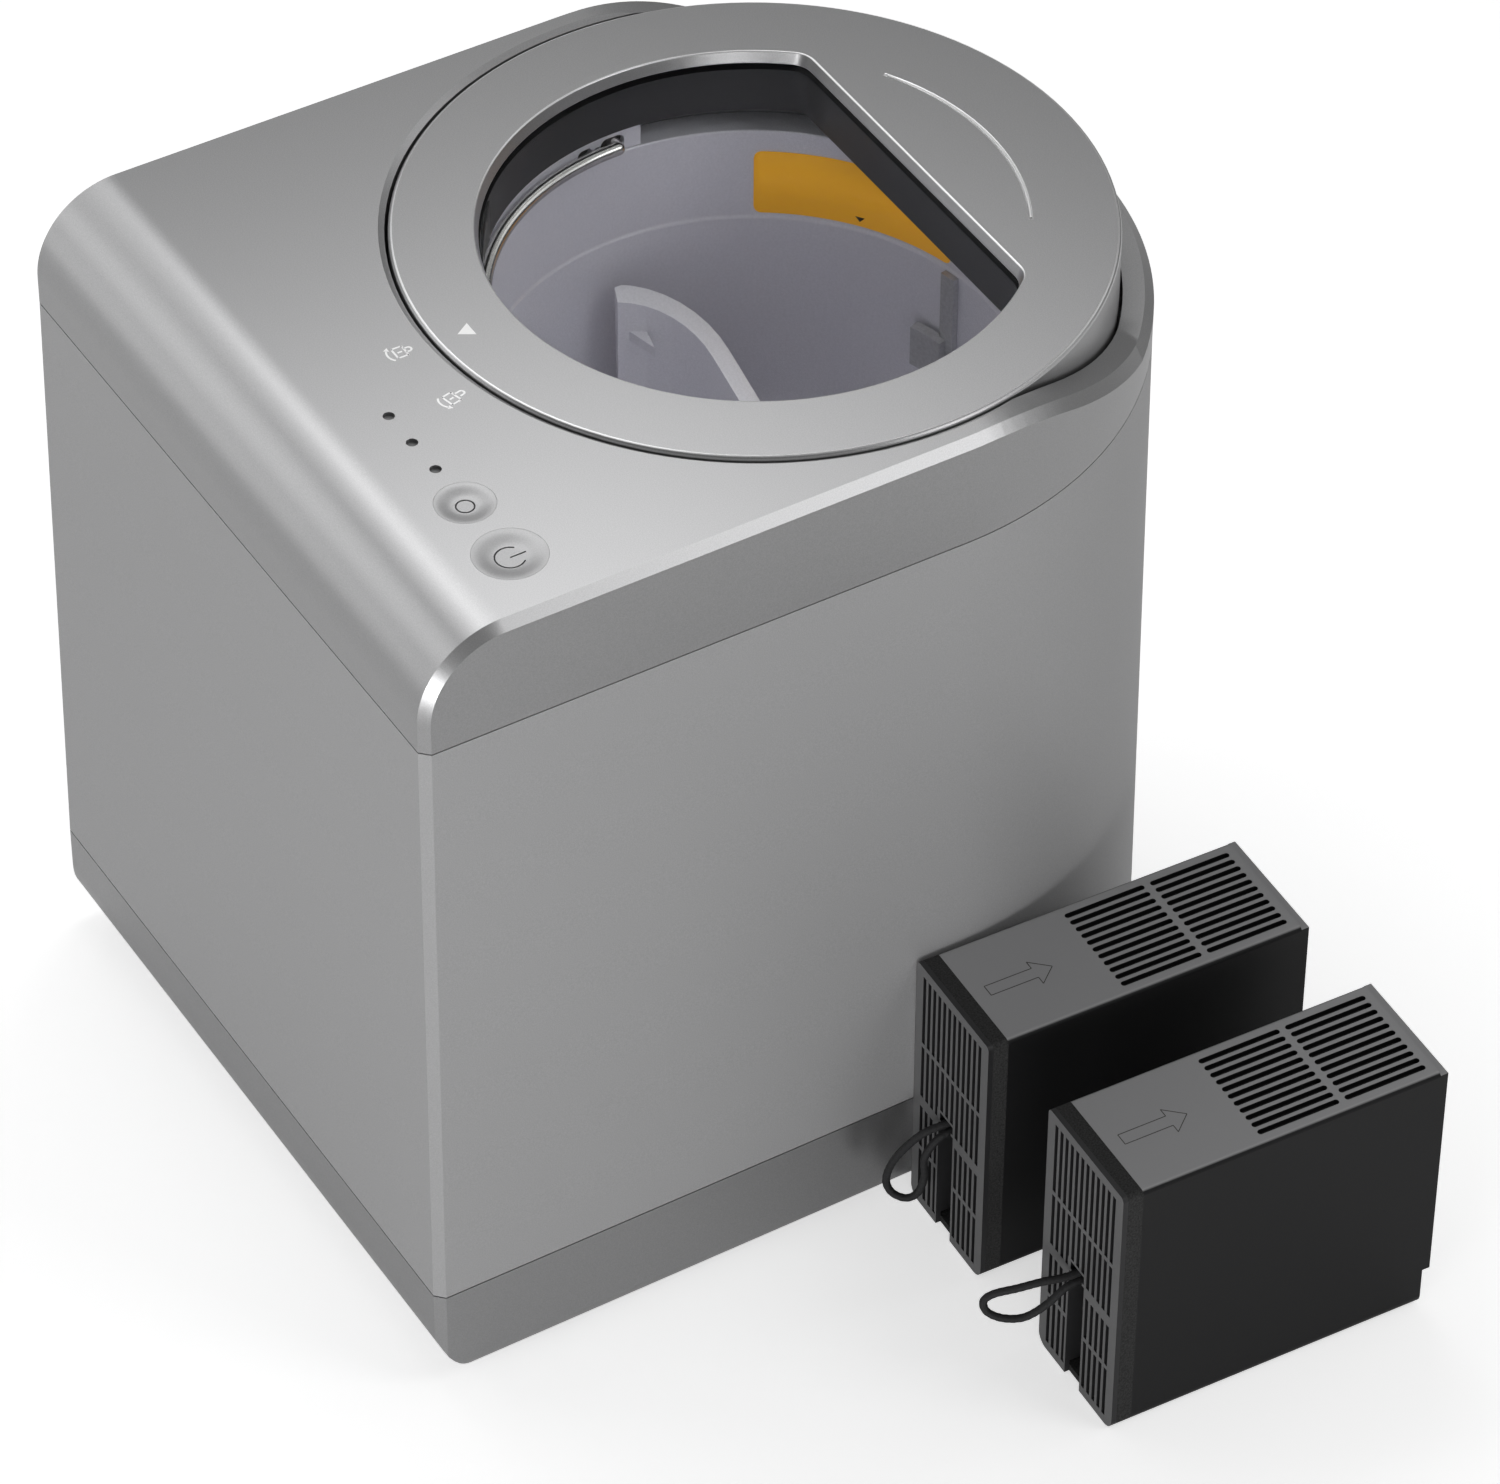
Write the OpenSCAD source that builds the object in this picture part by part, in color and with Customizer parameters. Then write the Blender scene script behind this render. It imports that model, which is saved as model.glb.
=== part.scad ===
// Electric food waste composter with a lift-out bucket, and its two filter cartridges.
// The origin is on the counter under the bucket axis; the front faces -Y and +Z is up.

/* [Casing] */
// Width of the casing at its upper seam
case_w = 275; // [265:1:290]
// Front face ahead of the bucket axis, at the upper seam
case_front = 208; // [200:1:225]
// Height of the top panel above the counter
case_top_z = 342.3; // [338:0.1:352]
// Height of the top cover, from its seam to the panel
cover_h = 43.3; // [41:0.1:46]
// Height of the seam between body and base
base_seam_z = 48; // [40:1:56]
// How far the sides spread from the upper seam to the base seam
draft = 3; // [1:0.5:5]
// Wall of the moulded casing
wall = 3; // [2.5:0.1:3.5]
// Chamfer along the top and corner edges
edge_cut = 3.3; // [2:0.1:4]
// Radius where the front turns into the top panel
front_round = 32; // [20:1:40]
// Radius where the front turns under the base
toe_round = 27; // [15:1:30]
// Angle at which the rim falls away behind the lid
drop_angle = 22; // [15:1:25]
// How far the level back rim lies under the top panel
rim_drop = 27; // [24:0.5:32]

/* [Lid] */
// Radius of the lid
lid_r = 125.4; // [124.5:0.1:126]
// Radius of the well that the lid sits in
well_r = 126.6; // [126.3:0.1:127.5]
// How far the lid's face stands above the top panel, less than 0 if it lies lower
lid_rise = -0.4; // [-1:0.1:3]
// Radius of the window at the lid's face
window_r = 96; // [90:0.5:98]
// Flat side of the window, behind the bucket axis
window_chord = 64.5; // [50:0.5:75]
// Turn from the closed mark to the open mark
lid_turn = 12.5; // [8:0.5:15]

/* [Bucket] */
// Inner radius of the bucket
bucket_r = 95; // [90:0.5:96]
// Wall of the bucket
bucket_wall = 1.8; // [1.5:0.1:2.2]
// How far the fill line lies under the bucket's rim
fill_drop = 38; // [26:1:60]
// Diameter of the handle wire
wire_d = 5; // [4:0.5:6]

/* [Cartridge] */
// Width of a filter cartridge
cart_w = 50; // [46:1:51]
// Length of a filter cartridge
cart_l = 130; // [120:1:132]
// Height of a filter cartridge
cart_h = 116; // [105:1:118]
// Slots in each of the two rows on top
cart_slots = 11; // [8:1:11]
// Columns of the grille
grille_columns = 12; // [8:1:13]
// Diameter of the pull cord
cord_d = 3; // [2:0.5:4]

/* [Controls] */
// Radius of the power button
power_r = 12.8; // [10:0.1:13]
// Radius of the filter reset button
reset_r = 10.4; // [8:0.1:11]
// Radius of the indicator lights
light_r = 2; // [1.5:0.1:3]
// Travel of the buttons
button_travel = 1.5; // [1:0.1:2]

/* [Drive] */
// Module of the output gear pair
gear_m = 1.25; // [1.25:0.25:1.25]
// Module of the motor gear pair
fast_m = 1; // [1:0.25:1]
// Radius of the output and paddle shafts
shaft_r = 6; // [5:0.5:7]
// Radius of the motor
motor_r = 26; // [20:1:30]

/* [Hidden] */

// Clearances shared by the whole machine
over = 1;
seat_gap = 0.3;
run_gap = 0.06;
press_gap = 0.02;
sliver = 0.01;
arc_fn = 180;
round_fn = 64;
arc_steps = 12;

// Casing
half_w = case_w / 2;
cover_seam_z = case_top_z - cover_h;
spread_share = 1 / (cover_seam_z - base_seam_z);
front_steps = 32;
back_rim_z = case_top_z - rim_drop;
mouth_cut_w = 2.1;
mouth_cut_h = 1.5;
seam_gap = 0.5;
drop_start = 8;
drop_round = 100;
base_z = 4;
side_round = 10;
base_wall = 4.5;
pan_floor = 4;
low_side = half_w + draft;
low_front = case_front + draft;
pan_top_z = base_z + pan_floor;

// Lid well, collar and lid
well_floor = 2.3;
throat_r = 120.5;
well_z = cover_seam_z + well_floor;
collar_r = 109.3;
collar_t = 2.7;
collar_z = well_z + collar_t;
upstand_r = 117.4;
upstand_t = 4.4;
upstand_h = 11;
rib_reach = 4.2;
rib_z = collar_z + 6.3;
rib_h = 3.2;
lug_span = 10;
lug_gap_angle = 1.5;
lug_rest_angle = 9.5;
rib_span = lid_turn + lug_rest_angle;
lug_reach = 4;
lug_h = 3.2;
lug_count = 3;
lid_top_z = case_top_z + lid_rise;
lid_plate = 4.4;
lid_skirt = 3;
lid_cut = 1;
lid_skirt_z = collar_z + seat_gap;
bevel_w = 2;
trim_r = 94.7;
trim_w = 1.1;
trim_depth = 0.6;
trim_angle = 60;
window_corner = 9;
pane_t = 3;
pane_lap = 4.5;
pane_z = lid_top_z - lid_plate - pane_t;
frame_lip = 2.2;
frame_lip_w = 8;
frame_t = 2.2;
frame_wall = 2.5;

// Bucket, liner and heater
rim_z = cover_seam_z + 7;
rim_t = 4.5;
rim_w = 13;
bucket_floor = 2;
bucket_round = 12;
fill_step = 0.6;
fill_line_z = rim_z - fill_drop;
frame_z = rim_z + 10.8;
liner_gap = 1.7;
liner_t = 2;
liner_r = bucket_r + bucket_wall + liner_gap;
liner_flange_r = 120;
liner_flange_t = 2.6;
heater_t = 5;
heater_r = 92;
centre_hole_r = 18;
gasket_r = 104.5;
gasket_w = 4.5;
gasket_lip = 1.5;

// Filter bay under the bucket
bay_floor_z = 17;
bay_gap = 2;
bay_wall = 2.5;
bay_w = cart_w + bay_gap;
bay_h = cart_h + bay_gap;
bay_half = bay_w + 1.5 * bay_wall;
bay_top_z = bay_floor_z + bay_h + bay_wall;
bay_front = 6.5;
cover_gap = 0.8;
port_r = 25;
cover_slot_w = 3;
cover_slot_gap = 7;
cover_slot_h = 34;
cover_slots = 9;
cover_row_shares = [0.12, 0.55];
tab_w = 34;
tab_h = 9;
tab_reach = 4;

// Gear train on the bay roof
out_teeth = 72;
slow_teeth = 18;
fast_teeth = 60;
pinion_teeth = 15;
tooth_shares = [[-0.31, -1.15], [-0.11, 0.92], [0.11, 0.92], [0.31, -1.15]];
pair_slow = gear_m * (out_teeth + slow_teeth) / 2;
pair_fast = fast_m * (fast_teeth + pinion_teeth) / 2;
motor_y = -pair_slow - pair_fast;
plate_z = bay_top_z;
plate_t = 3;
gear_z = plate_z + plate_t + 2.5;
gear_t = 8;
fast_t = 6;
fast_z = gear_z + gear_t + 1.5;
gear_cover_t = 3;
gear_cover_h = 27;
gear_cover_z = plate_z + plate_t;
cover_top_z = gear_cover_z + gear_cover_h;
gear_margin = 6;
axle_r = 3;
motor_gap = 0.5;
motor_h = 70;
motor_shaft_r = 3;
plate_margin = 12;
post_r = 6;
post_reach = 44;

// Drive cup and paddle drive
liner_z = cover_top_z;
heater_z = liner_z + liner_t;
bucket_z = heater_z + heater_t + seat_gap;
bucket_depth = rim_z - bucket_z;
cup_r = 14.5;
cup_z = cover_top_z + seat_gap;
cup_top_z = heater_z + heater_t - seat_gap;
dog_r = 8;
dog_gap = 0.4;
dog_z = cup_z + 2.2;
cup_floor_z = dog_z - 0.5;
boss_r = 13;
boss_h = 22;
bush_r = 10;
boss_top_z = bucket_z + boss_h;
bush_top_z = boss_top_z + 2;

// Paddle
hub_r = 19;
hub_gap = 0.5;
hub_z = bucket_z + bucket_floor + 1.2;
hub_h = 40;
shaft_top_z = hub_z + hub_h - 4;
arm_t = 7;
arm_y = 18;
arm_reach = 52;
arm_hook_r = 36;
arm_hook_angle = 70;
arm_steps = 8;
arm_tip_share = 0.596;
arm_root_share = 0.398;
arm_mid_share = 0.482;
arm_tip_z = bucket_z + bucket_depth * arm_tip_share;
arm_root_z = bucket_z + bucket_depth * arm_root_share;
arm_mid_z = bucket_z + bucket_depth * arm_mid_share;
arm_heel = 8;
scraper_h = 26;
tooth_drop = 5;
tooth_z = arm_mid_z - tooth_drop;
tooth_l = 13;
tooth_w = 8;
tooth_h = 4;

// Fixed cutter on the bucket wall
cutter_depth = 2.4;
cutter_reach = 5.4;
cutter_rail_angle = 99;
cutter_rail_span = 4;
cutter_rail_h = 50;
cutter_rail_z = fill_line_z - cutter_rail_h;
cutter_foot = 3;
cutter_z = cutter_rail_z + cutter_foot;
cutter_h = 17;
cutter_span = 9;

// Handle
bail_r = 93;
bail_z = rim_z + 4.2;
ear_r = 96.4;
ear_t = 2.8;
ear_h = 9.5;
ear_front_angle = 50;
ear_back_angle = 6.5;
ear_slot_reach = 0.4;
ear_slot_l = 9.5;
ear_slot_h = 5.6;
ear_hole_reach = 12;
ear_hole_l = 6;
ear_hole_h = 4;
pin_end = 101;

// Controls in the top panel
controls_y = -158;
power_inset = 29.3;
reset_pitch = 29.6;
light_first = 19.7;
light_pitch = 15.8;
power_x = half_w - power_inset;
reset_x = power_x - reset_pitch;
light_x = [for (i = [2:-1:0]) reset_x - light_first - i * light_pitch];
button_gap = 0.1;
button_flange = 1.5;
button_flange_t = 2;
dish = 1.6;
dish_flat_share = 0.35;
dish_steps = 20;
mark_w = 0.6;
mark_depth = 0.5;
power_mark_r = 5.4;
power_mark_gap = 90;
power_stroke = 5.9;
reset_mark_r = 3.4;
light_recess = 1.3;
stem_r = 3;
board_drop = 12.7;
board_t = 1.6;
board_z = case_top_z - board_drop;
board_inset = 11.5;
board_w = 112;
board_x1 = half_w - board_inset;
board_x0 = board_x1 - board_w;
board_y0 = -181;
board_y1 = -141;
switch_w = 12;
switch_h = 2.6;
stand_r = 2.5;
stand_inset = 4;

// Fan, duct and boards
fan_size = 60;
fan_t = 25;
fan_r = 27;
fan_hub_r = 10;
fan_tip_gap = 1;
fan_blades = 7;
blade_t = 2;
blade_angle = 35;
fan_y = 50;
fan_z = 80;
fan_x = -bay_half - fan_t;
duct_w = 18;
duct_l = 32;
duct_t = 2;
duct_inset = 15.5;
duct_x = duct_inset - half_w;
duct_y = 8;
duct_top_z = cover_seam_z - 3;
power_board_w = 58;
power_board_inset = 13.5;
power_board_x = half_w - power_board_inset - power_board_w;
power_board_y = -120;
power_board_l = 130;
power_board_z = pan_top_z + 6;
transformer = [34, 40, 30];
capacitor_r = 9;
capacitor_h = 28;
switch_box = [20, 8, 10];
switch_lever = [12, 3, 1.6];

// Power inlet at the back
inlet_w = 30;
inlet_h = 24;
inlet_lift = 8.5;
inlet_z = bay_top_z + inlet_h / 2 + inlet_lift;
inlet_flange = 3;
inlet_depth = 22;
inlet_gap = 0.3;
inlet_rim = 2.4;
socket_depth = 18;
pin_w = 2;
pin_h = 4.5;
pin_l = 11;
pin_pitch = 7;
pin_drop = 3;

// Feet
foot_r = 9.8;
front_foot_inset = 15.5;
front_foot_x = half_w - front_foot_inset;
front_foot_y = -157;
rear_foot_x = 80;
rear_foot_y = 92;

// Cartridge details
cart_yaw = -2.5;
cart_gap = 30.9;
cart_pitch = 84.4;
cart_back = 46.5;
cart_a = [half_w + cart_gap, cart_back];
cart_b = [half_w + cart_gap + cart_pitch, cart_back + seat_gap];
grille_t = 2;
grille_frame = 4;
grille_bar_shares = [0.24, 0.44, 0.68];
grille_bars = [2, 5, 2];
grille_slot_share = 0.56;
channel_w = 10;
channel_x = -2;
channel_share = 0.45;
notch_w = 7;
notch_rise = 5;
gutter_depth = 6.5;
gutter_t = 1.2;
band_l = 6;
band_t = 3;
cart_wall = 2;
cart_foot_round = 5;
cart_top_round = 2;
slot_w = 2.3;
slot_l = 32.5;
slot_gap = 2.5;
slot_edge = 3;
slot_side = 4.5;
strip_t = 3;
strip_lift = 18;
carbon_gap = 1;
cord_sides = 8;
loop_a = [
    [-3, -58.5, 54], [-3, -66, 54], [-5, -73, 51], [-8, -79, 43], [-11, -82, 34], [-12, -83, 26],
    [-11, -81, 20], [-8, -77, 18], [-5, -74, 22], [-4, -72, 30], [-4, -72, 40], [-3, -67, 48], [-3, -58.5, 50]
];
loop_b = [
    [-3, -58.5, 54], [-3, -68, 54], [-5, -77, 54], [-8, -85, 52], [-12, -92, 49], [-14, -95, 45],
    [-13, -94, 40], [-10, -89, 37], [-7, -82, 37], [-4, -75, 43], [-3, -68, 49], [-3, -58.5, 50]
];

silver = [0.63, 0.63, 0.64];
lilac = [0.52, 0.51, 0.55];
coal = [0.12, 0.12, 0.13];

// Points of an arc about c from angle a to angle b
function arc(c, r, a, b, steps = arc_steps) =
    [for (i = [0:steps]) let (t = a + (b - a) * i / steps) [c[0] + r * cos(t), c[1] + r * sin(t)]];

// Spread of the sides at height z
function spread(z) = draft * (cover_seam_z - z) * spread_share;

// Casing seen from above: half a square in front, half a circle behind, two cut corners
module plan(side, front, cut = 0) {
    circle(r = side, $fn = arc_fn);
    polygon([
        [-side, 0], [-side, cut - front], [cut - side, -front],
        [side - cut, -front], [side, cut - front], [side, 0]
    ]);
}

// Side view of the top cover as far as its back rim, drawn inside by g
module cover_profile(g) {
    drop = arc([drop_start, case_top_z - drop_round], drop_round - g, 90, 90 - drop_angle);
    last = drop[arc_steps];
    rim_y = last[0] + (last[1] - back_rim_z + g) / tan(drop_angle);
    polygon(concat(
        [[g - case_front, cover_seam_z]],
        arc([front_round - case_front, case_top_z - front_round], front_round - g, 180, 90, front_steps),
        drop,
        [[rim_y, back_rim_z - g], [rim_y, cover_seam_z]]
    ));
}

// Side view of the base, drawn inside by g
module base_profile(g) {
    polygon(concat(
        [[half_w + draft, base_seam_z + over], [g - low_front, base_seam_z + over]],
        arc([toe_round - low_front, base_z + toe_round], toe_round - g, 180, 270),
        [[half_w + draft, base_z + g]]
    ));
}

// Turns a side view drawn in Y and Z into a bar across the machine
module across(w) {
    translate([-w / 2, 0, 0])
        rotate([90, 0, 90])
            linear_extrude(height = w)
                children();
}

module cover_solid() {
    hull() {
        intersection() {
            translate([0, 0, cover_seam_z])
                linear_extrude(height = case_top_z) plan(half_w, case_front - edge_cut);
            across(case_w) cover_profile(edge_cut);
        }
        intersection() {
            translate([0, 0, cover_seam_z])
                linear_extrude(height = case_top_z) plan(half_w - edge_cut, case_front);
            across(case_w) cover_profile(0);
        }
    }
    hull() {
        for (g = [0, edge_cut])
            translate([0, 0, cover_seam_z])
                cylinder(r = half_w - g, h = back_rim_z - edge_cut + g - cover_seam_z, $fn = arc_fn);
    }
}

// Drafted wall block between two heights, drawn inside by g
module shell_block(z0, z1, g) {
    side0 = half_w + spread(z0) - g;
    side1 = half_w + spread(z1) - g;
    front0 = g - case_front - spread(z0);
    front1 = g - case_front - spread(z1);
    intersection() {
        union() {
            translate([0, 0, z0]) cylinder(r1 = side0, r2 = side1, h = z1 - z0, $fn = arc_fn);
            rotate([90, 0, 0])
                linear_extrude(height = low_front + over)
                    polygon([[-side0, z0], [side0, z0], [side1, z1], [-side1, z1]]);
        }
        across(2 * case_w)
            polygon([[front0, z0], [low_side + over, z0], [low_side + over, z1], [front1, z1]]);
    }
}

// Cuts the two front corners of the drafted walls
module corner_cuts() {
    tilt = atan(sqrt(2) * draft * spread_share);
    for (s = [0, 1])
        mirror([s, 0, 0])
            translate([edge_cut / 2 - half_w, edge_cut / 2 - case_front, cover_seam_z])
                rotate([0, 0, -45])
                    rotate([-tilt, 0, 0])
                        translate([-edge_cut, -2 * edge_cut, -cover_seam_z])
                            cube([2 * edge_cut, 2 * edge_cut, 2 * cover_seam_z]);
}

module base_solid() {
    top_z = base_seam_z - seam_gap;
    side = concat([[0, base_z]], arc([low_side - side_round, base_z + side_round], side_round, 270, 360),
        [[low_side, top_z], [0, top_z]]);
    intersection() {
        union() {
            rotate_extrude($fn = arc_fn) polygon(side);
            for (s = [0, 1])
                mirror([s, 0, 0])
                    rotate([90, 0, 0]) linear_extrude(height = low_front + over) polygon(side);
        }
        across(2 * case_w) base_profile(0);
        translate([0, 0, base_z - over])
            linear_extrude(height = base_seam_z)
                polygon([
                    [-low_side - over, low_side + over],
                    [-low_side - over, edge_cut + over - low_front],
                    [edge_cut + over - low_side, -low_front - over],
                    [low_side - edge_cut - over, -low_front - over],
                    [low_side + over, edge_cut + over - low_front],
                    [low_side + over, low_side + over]
                ]);
    }
}

// Window outline: a circle with a straight side behind and two rounded corners
module window(r) {
    side_angle = asin((window_chord + r - window_r - window_corner) / (r - window_corner));
    cx = (r - window_corner) * cos(side_angle);
    cy = (r - window_corner) * sin(side_angle);
    polygon(concat(
        arc([cx, cy], window_corner, side_angle, 90),
        arc([-cx, cy], window_corner, 90, 180 - side_angle),
        [for (i = [1:arc_fn / 2 - 1])
            let (t = 180 - side_angle + (180 + 2 * side_angle) * i / (arc_fn / 2)) [r * cos(t), r * sin(t)]]
    ));
}

// Flat ring
module ring(r0, r1, h) {
    difference() {
        cylinder(r = r1, h = h, $fn = arc_fn);
        translate([0, 0, -over]) cylinder(r = r0, h = h + 2 * over, $fn = arc_fn);
    }
}

// Part of a ring, from angle a over the given span
module sector(r0, r1, h, a, span) {
    rotate([0, 0, a])
        rotate_extrude(angle = span, $fn = arc_fn)
            translate([r0, 0]) square([r1 - r0, h]);
}

module rounded_slot(l, w) {
    translate([-l / 2 + w / 2, -w / 2]) square([l - w, w]);
    for (x = [w / 2 - l / 2, l / 2 - w / 2])
        translate([x, 0]) circle(d = w, $fn = 24);
}

module control_hole(x, r) {
    translate([x, controls_y, board_z]) cylinder(r = r, h = case_top_z, $fn = round_fn);
}

// Casing parts
module top_cover() {
    color(silver)
    difference() {
        union() {
            difference() {
                cover_solid();
                difference() {
                    intersection() {
                        translate([0, 0, cover_seam_z - over])
                            linear_extrude(height = case_top_z)
                                translate([wall - half_w, wall - case_front])
                                    square([case_w - 2 * wall, case_front - wall]);
                        union() {
                            across(case_w) cover_profile(wall);
                            translate([-half_w, wall - case_front, cover_seam_z - over])
                                cube([case_w, case_front, 2 * over]);
                        }
                    }
                    translate([0, 0, cover_seam_z - 2 * over])
                        cylinder(r = well_r + wall, h = case_top_z, $fn = arc_fn);
                }
            }
            for (x = [board_x0 + stand_inset, board_x1 - stand_inset])
                for (y = [board_y0 + stand_inset, board_y1 - stand_inset])
                    translate([x, y, board_z + board_t])
                        cylinder(r = stand_r, h = board_drop - wall - board_t + over / 2, $fn = round_fn);
        }
        translate([0, 0, well_z]) cylinder(r = well_r, h = case_top_z, $fn = arc_fn);
        translate([0, 0, case_top_z - mouth_cut_h])
            cylinder(r1 = well_r, r2 = well_r + 2 * mouth_cut_w, h = 2 * mouth_cut_h, $fn = arc_fn);
        translate([0, 0, cover_seam_z - over]) cylinder(r = throat_r, h = case_top_z, $fn = arc_fn);
        for (x = light_x)
            control_hole(x, light_r + run_gap);
        control_hole(reset_x, reset_r + button_gap);
        control_hole(power_x, power_r + button_gap);
    }
}

module body_shell() {
    color(silver)
    difference() {
        shell_block(base_seam_z, cover_seam_z - seam_gap, 0);
        shell_block(base_seam_z - over, cover_seam_z - seam_gap + over, wall);
        corner_cuts();
        bay_window(0);
        translate([-inlet_w / 2 - inlet_gap, half_w / 2, inlet_z - inlet_h / 2 - inlet_gap])
            cube([inlet_w + 2 * inlet_gap, half_w, inlet_h + 2 * inlet_gap]);
    }
}

module base_pan() {
    color(silver)
    union() {
        difference() {
            base_solid();
            intersection() {
                translate([0, 0, pan_top_z])
                    linear_extrude(height = base_seam_z)
                        plan(low_side - base_wall, low_front - base_wall);
                across(case_w) base_profile(pan_floor);
            }
            bay_window(0);
        }
        for (x = [0, power_board_w - 2 * stand_inset], y = [0, power_board_l - 2 * stand_inset])
            translate([power_board_x + stand_inset + x, power_board_y + stand_inset + y, pan_top_z - over])
                cylinder(r = stand_r, h = power_board_z - pan_top_z + over, $fn = round_fn);
    }
}

module rubber_feet() {
    color(coal)
    difference() {
        for (s = [-1, 1], foot = [[front_foot_x, front_foot_y], [rear_foot_x, rear_foot_y]])
            translate([s * foot[0], foot[1], 0])
                cylinder(r = foot_r, h = base_z + side_round / 2, $fn = round_fn);
        base_solid();
    }
}

// Opening in the back for the two cartridges, grown by g
module bay_window(g) {
    translate([-bay_half - cover_gap - g, half_w / 2, bay_floor_z - bay_wall / 2 - g])
        cube([2 * (bay_half + cover_gap + g), half_w, bay_top_z - bay_floor_z + bay_wall / 2 + 2 * g]);
}

module filter_cover() {
    slot_x = (cover_slots - 1) / 2 * cover_slot_gap;
    color(silver)
    union() {
        difference() {
            intersection() {
                union() {
                    shell_block(base_seam_z, cover_seam_z - seam_gap, 0);
                    translate([0, 0, base_z + side_round])
                        linear_extrude(height = base_seam_z - base_z - side_round)
                            plan(low_side, low_front);
                }
                bay_window(-cover_gap);
            }
            linear_extrude(height = cover_seam_z) plan(half_w - wall, case_front);
            for (row = [0, 1], i = [0:cover_slots - 1])
                translate([
                    i * cover_slot_gap - slot_x - cover_slot_w / 2, half_w / 2,
                    bay_floor_z + bay_h * (row == 0 ? cover_row_shares[0] : cover_row_shares[1])
                ])
                    cube([cover_slot_w, half_w, cover_slot_h]);
        }
        translate([-tab_w / 2, half_w + spread(bay_top_z) - tab_reach / 2, bay_top_z - tab_h - bay_wall])
            cube([tab_w, tab_reach, wall]);
    }
}

// Seats around the bucket
module lid_collar() {
    color(coal)
    union() {
        translate([0, 0, well_z]) ring(collar_r, well_r - seat_gap, collar_t);
        translate([0, 0, collar_z - sliver]) ring(upstand_r - upstand_t, upstand_r, upstand_h);
        for (i = [0:lug_count - 1])
            translate([0, 0, rib_z])
                sector(upstand_r - over, upstand_r + rib_reach, rib_h,
                    360 * i / lug_count + lug_span / 2 + lug_gap_angle, rib_span);
    }
}

module well_liner() {
    color("gainsboro")
    union() {
        difference() {
            translate([0, 0, liner_z])
                cylinder(r = liner_r + liner_t, h = well_z - seat_gap - liner_z, $fn = arc_fn);
            translate([0, 0, heater_z]) cylinder(r = liner_r, h = well_z, $fn = arc_fn);
            translate([0, 0, liner_z - over])
                cylinder(r = centre_hole_r, h = liner_t + 2 * over, $fn = round_fn);
        }
        translate([0, 0, well_z - seat_gap - liner_flange_t])
            ring(liner_r + liner_t - sliver, liner_flange_r, liner_flange_t);
    }
}

module heater_plate() {
    color("darkgray") translate([0, 0, heater_z]) ring(centre_hole_r, heater_r, heater_t);
}

// Filter bay: two lanes open to the back, with a port for the fan
module filter_bay() {
    color("dimgray")
    intersection() {
        difference() {
            translate([-bay_half, -bay_front - bay_wall, pan_top_z])
                cube([2 * bay_half, case_w, bay_top_z - pan_top_z]);
            for (s = [-1, 1])
                translate([s * (bay_w + bay_wall) / 2 - bay_w / 2, -bay_front, bay_floor_z])
                    cube([bay_w, case_w, bay_h]);
            translate([bay_wall - bay_half, -bay_front, pan_top_z - over])
                cube([2 * (bay_half - bay_wall), case_w, bay_floor_z - bay_wall - pan_top_z + over]);
            translate([-bay_half - over, fan_y, fan_z])
                rotate([0, 90, 0]) cylinder(r = port_r, h = bay_wall + 2 * over, $fn = round_fn);
        }
        translate([0, 0, base_z]) linear_extrude(height = case_top_z) plan(half_w - base_wall, case_front);
    }
}

// Gear train
function gear_outline(n, m, phase) =
    [for (i = [0:n - 1], p = tooth_shares)
        let (a = phase + 360 * (i + p[0]) / n, r = m * n / 2 + p[1] * m) [r * cos(a), r * sin(a)]];

module gear(n, m, t, phase) {
    linear_extrude(height = t) polygon(gear_outline(n, m, phase));
}

module gear_footprint(g) {
    circle(r = gear_m * out_teeth / 2 + g, $fn = arc_fn);
    translate([0, -pair_slow]) circle(r = fast_m * fast_teeth / 2 + g, $fn = arc_fn);
    translate([0, motor_y]) circle(r = fast_m * pinion_teeth / 2 + 2 * gear_margin + g, $fn = arc_fn);
    translate([-fast_m * fast_teeth / 2 - g, -pair_slow]) square([fast_m * fast_teeth + 2 * g, pair_slow]);
}

module gear_plate() {
    color("slategray")
    difference() {
        translate([-bay_half, motor_y - motor_r - plate_margin, plate_z])
            cube([2 * bay_half, motor_r - motor_y + gear_m * out_teeth / 2 + 2 * plate_margin, plate_t]);
        translate([0, 0, plate_z - over])
            cylinder(r = shaft_r + run_gap, h = plate_t + 2 * over, $fn = round_fn);
        translate([0, motor_y, plate_z - over])
            cylinder(r = 2 * motor_shaft_r, h = plate_t + 2 * over, $fn = round_fn);
    }
}

module gear_posts() {
    color("slategray")
    for (s = [-1, 1])
        translate([s * post_reach, motor_y - motor_r, pan_top_z])
            cylinder(r = post_r, h = plate_z - pan_top_z, $fn = round_fn);
}

module gear_axle() {
    color("lightgray")
    translate([0, -pair_slow, gear_cover_z])
        cylinder(r = axle_r, h = gear_cover_h - gear_cover_t, $fn = round_fn);
}

module gear_cover() {
    color("slategray")
    difference() {
        translate([0, 0, gear_cover_z])
            linear_extrude(height = gear_cover_h) gear_footprint(gear_margin + gear_cover_t);
        translate([0, 0, gear_cover_z - over])
            linear_extrude(height = gear_cover_h - gear_cover_t + over) gear_footprint(gear_margin);
        translate([0, 0, gear_cover_z])
            cylinder(r = shaft_r + run_gap, h = gear_cover_h + over, $fn = round_fn);
    }
}

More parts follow.
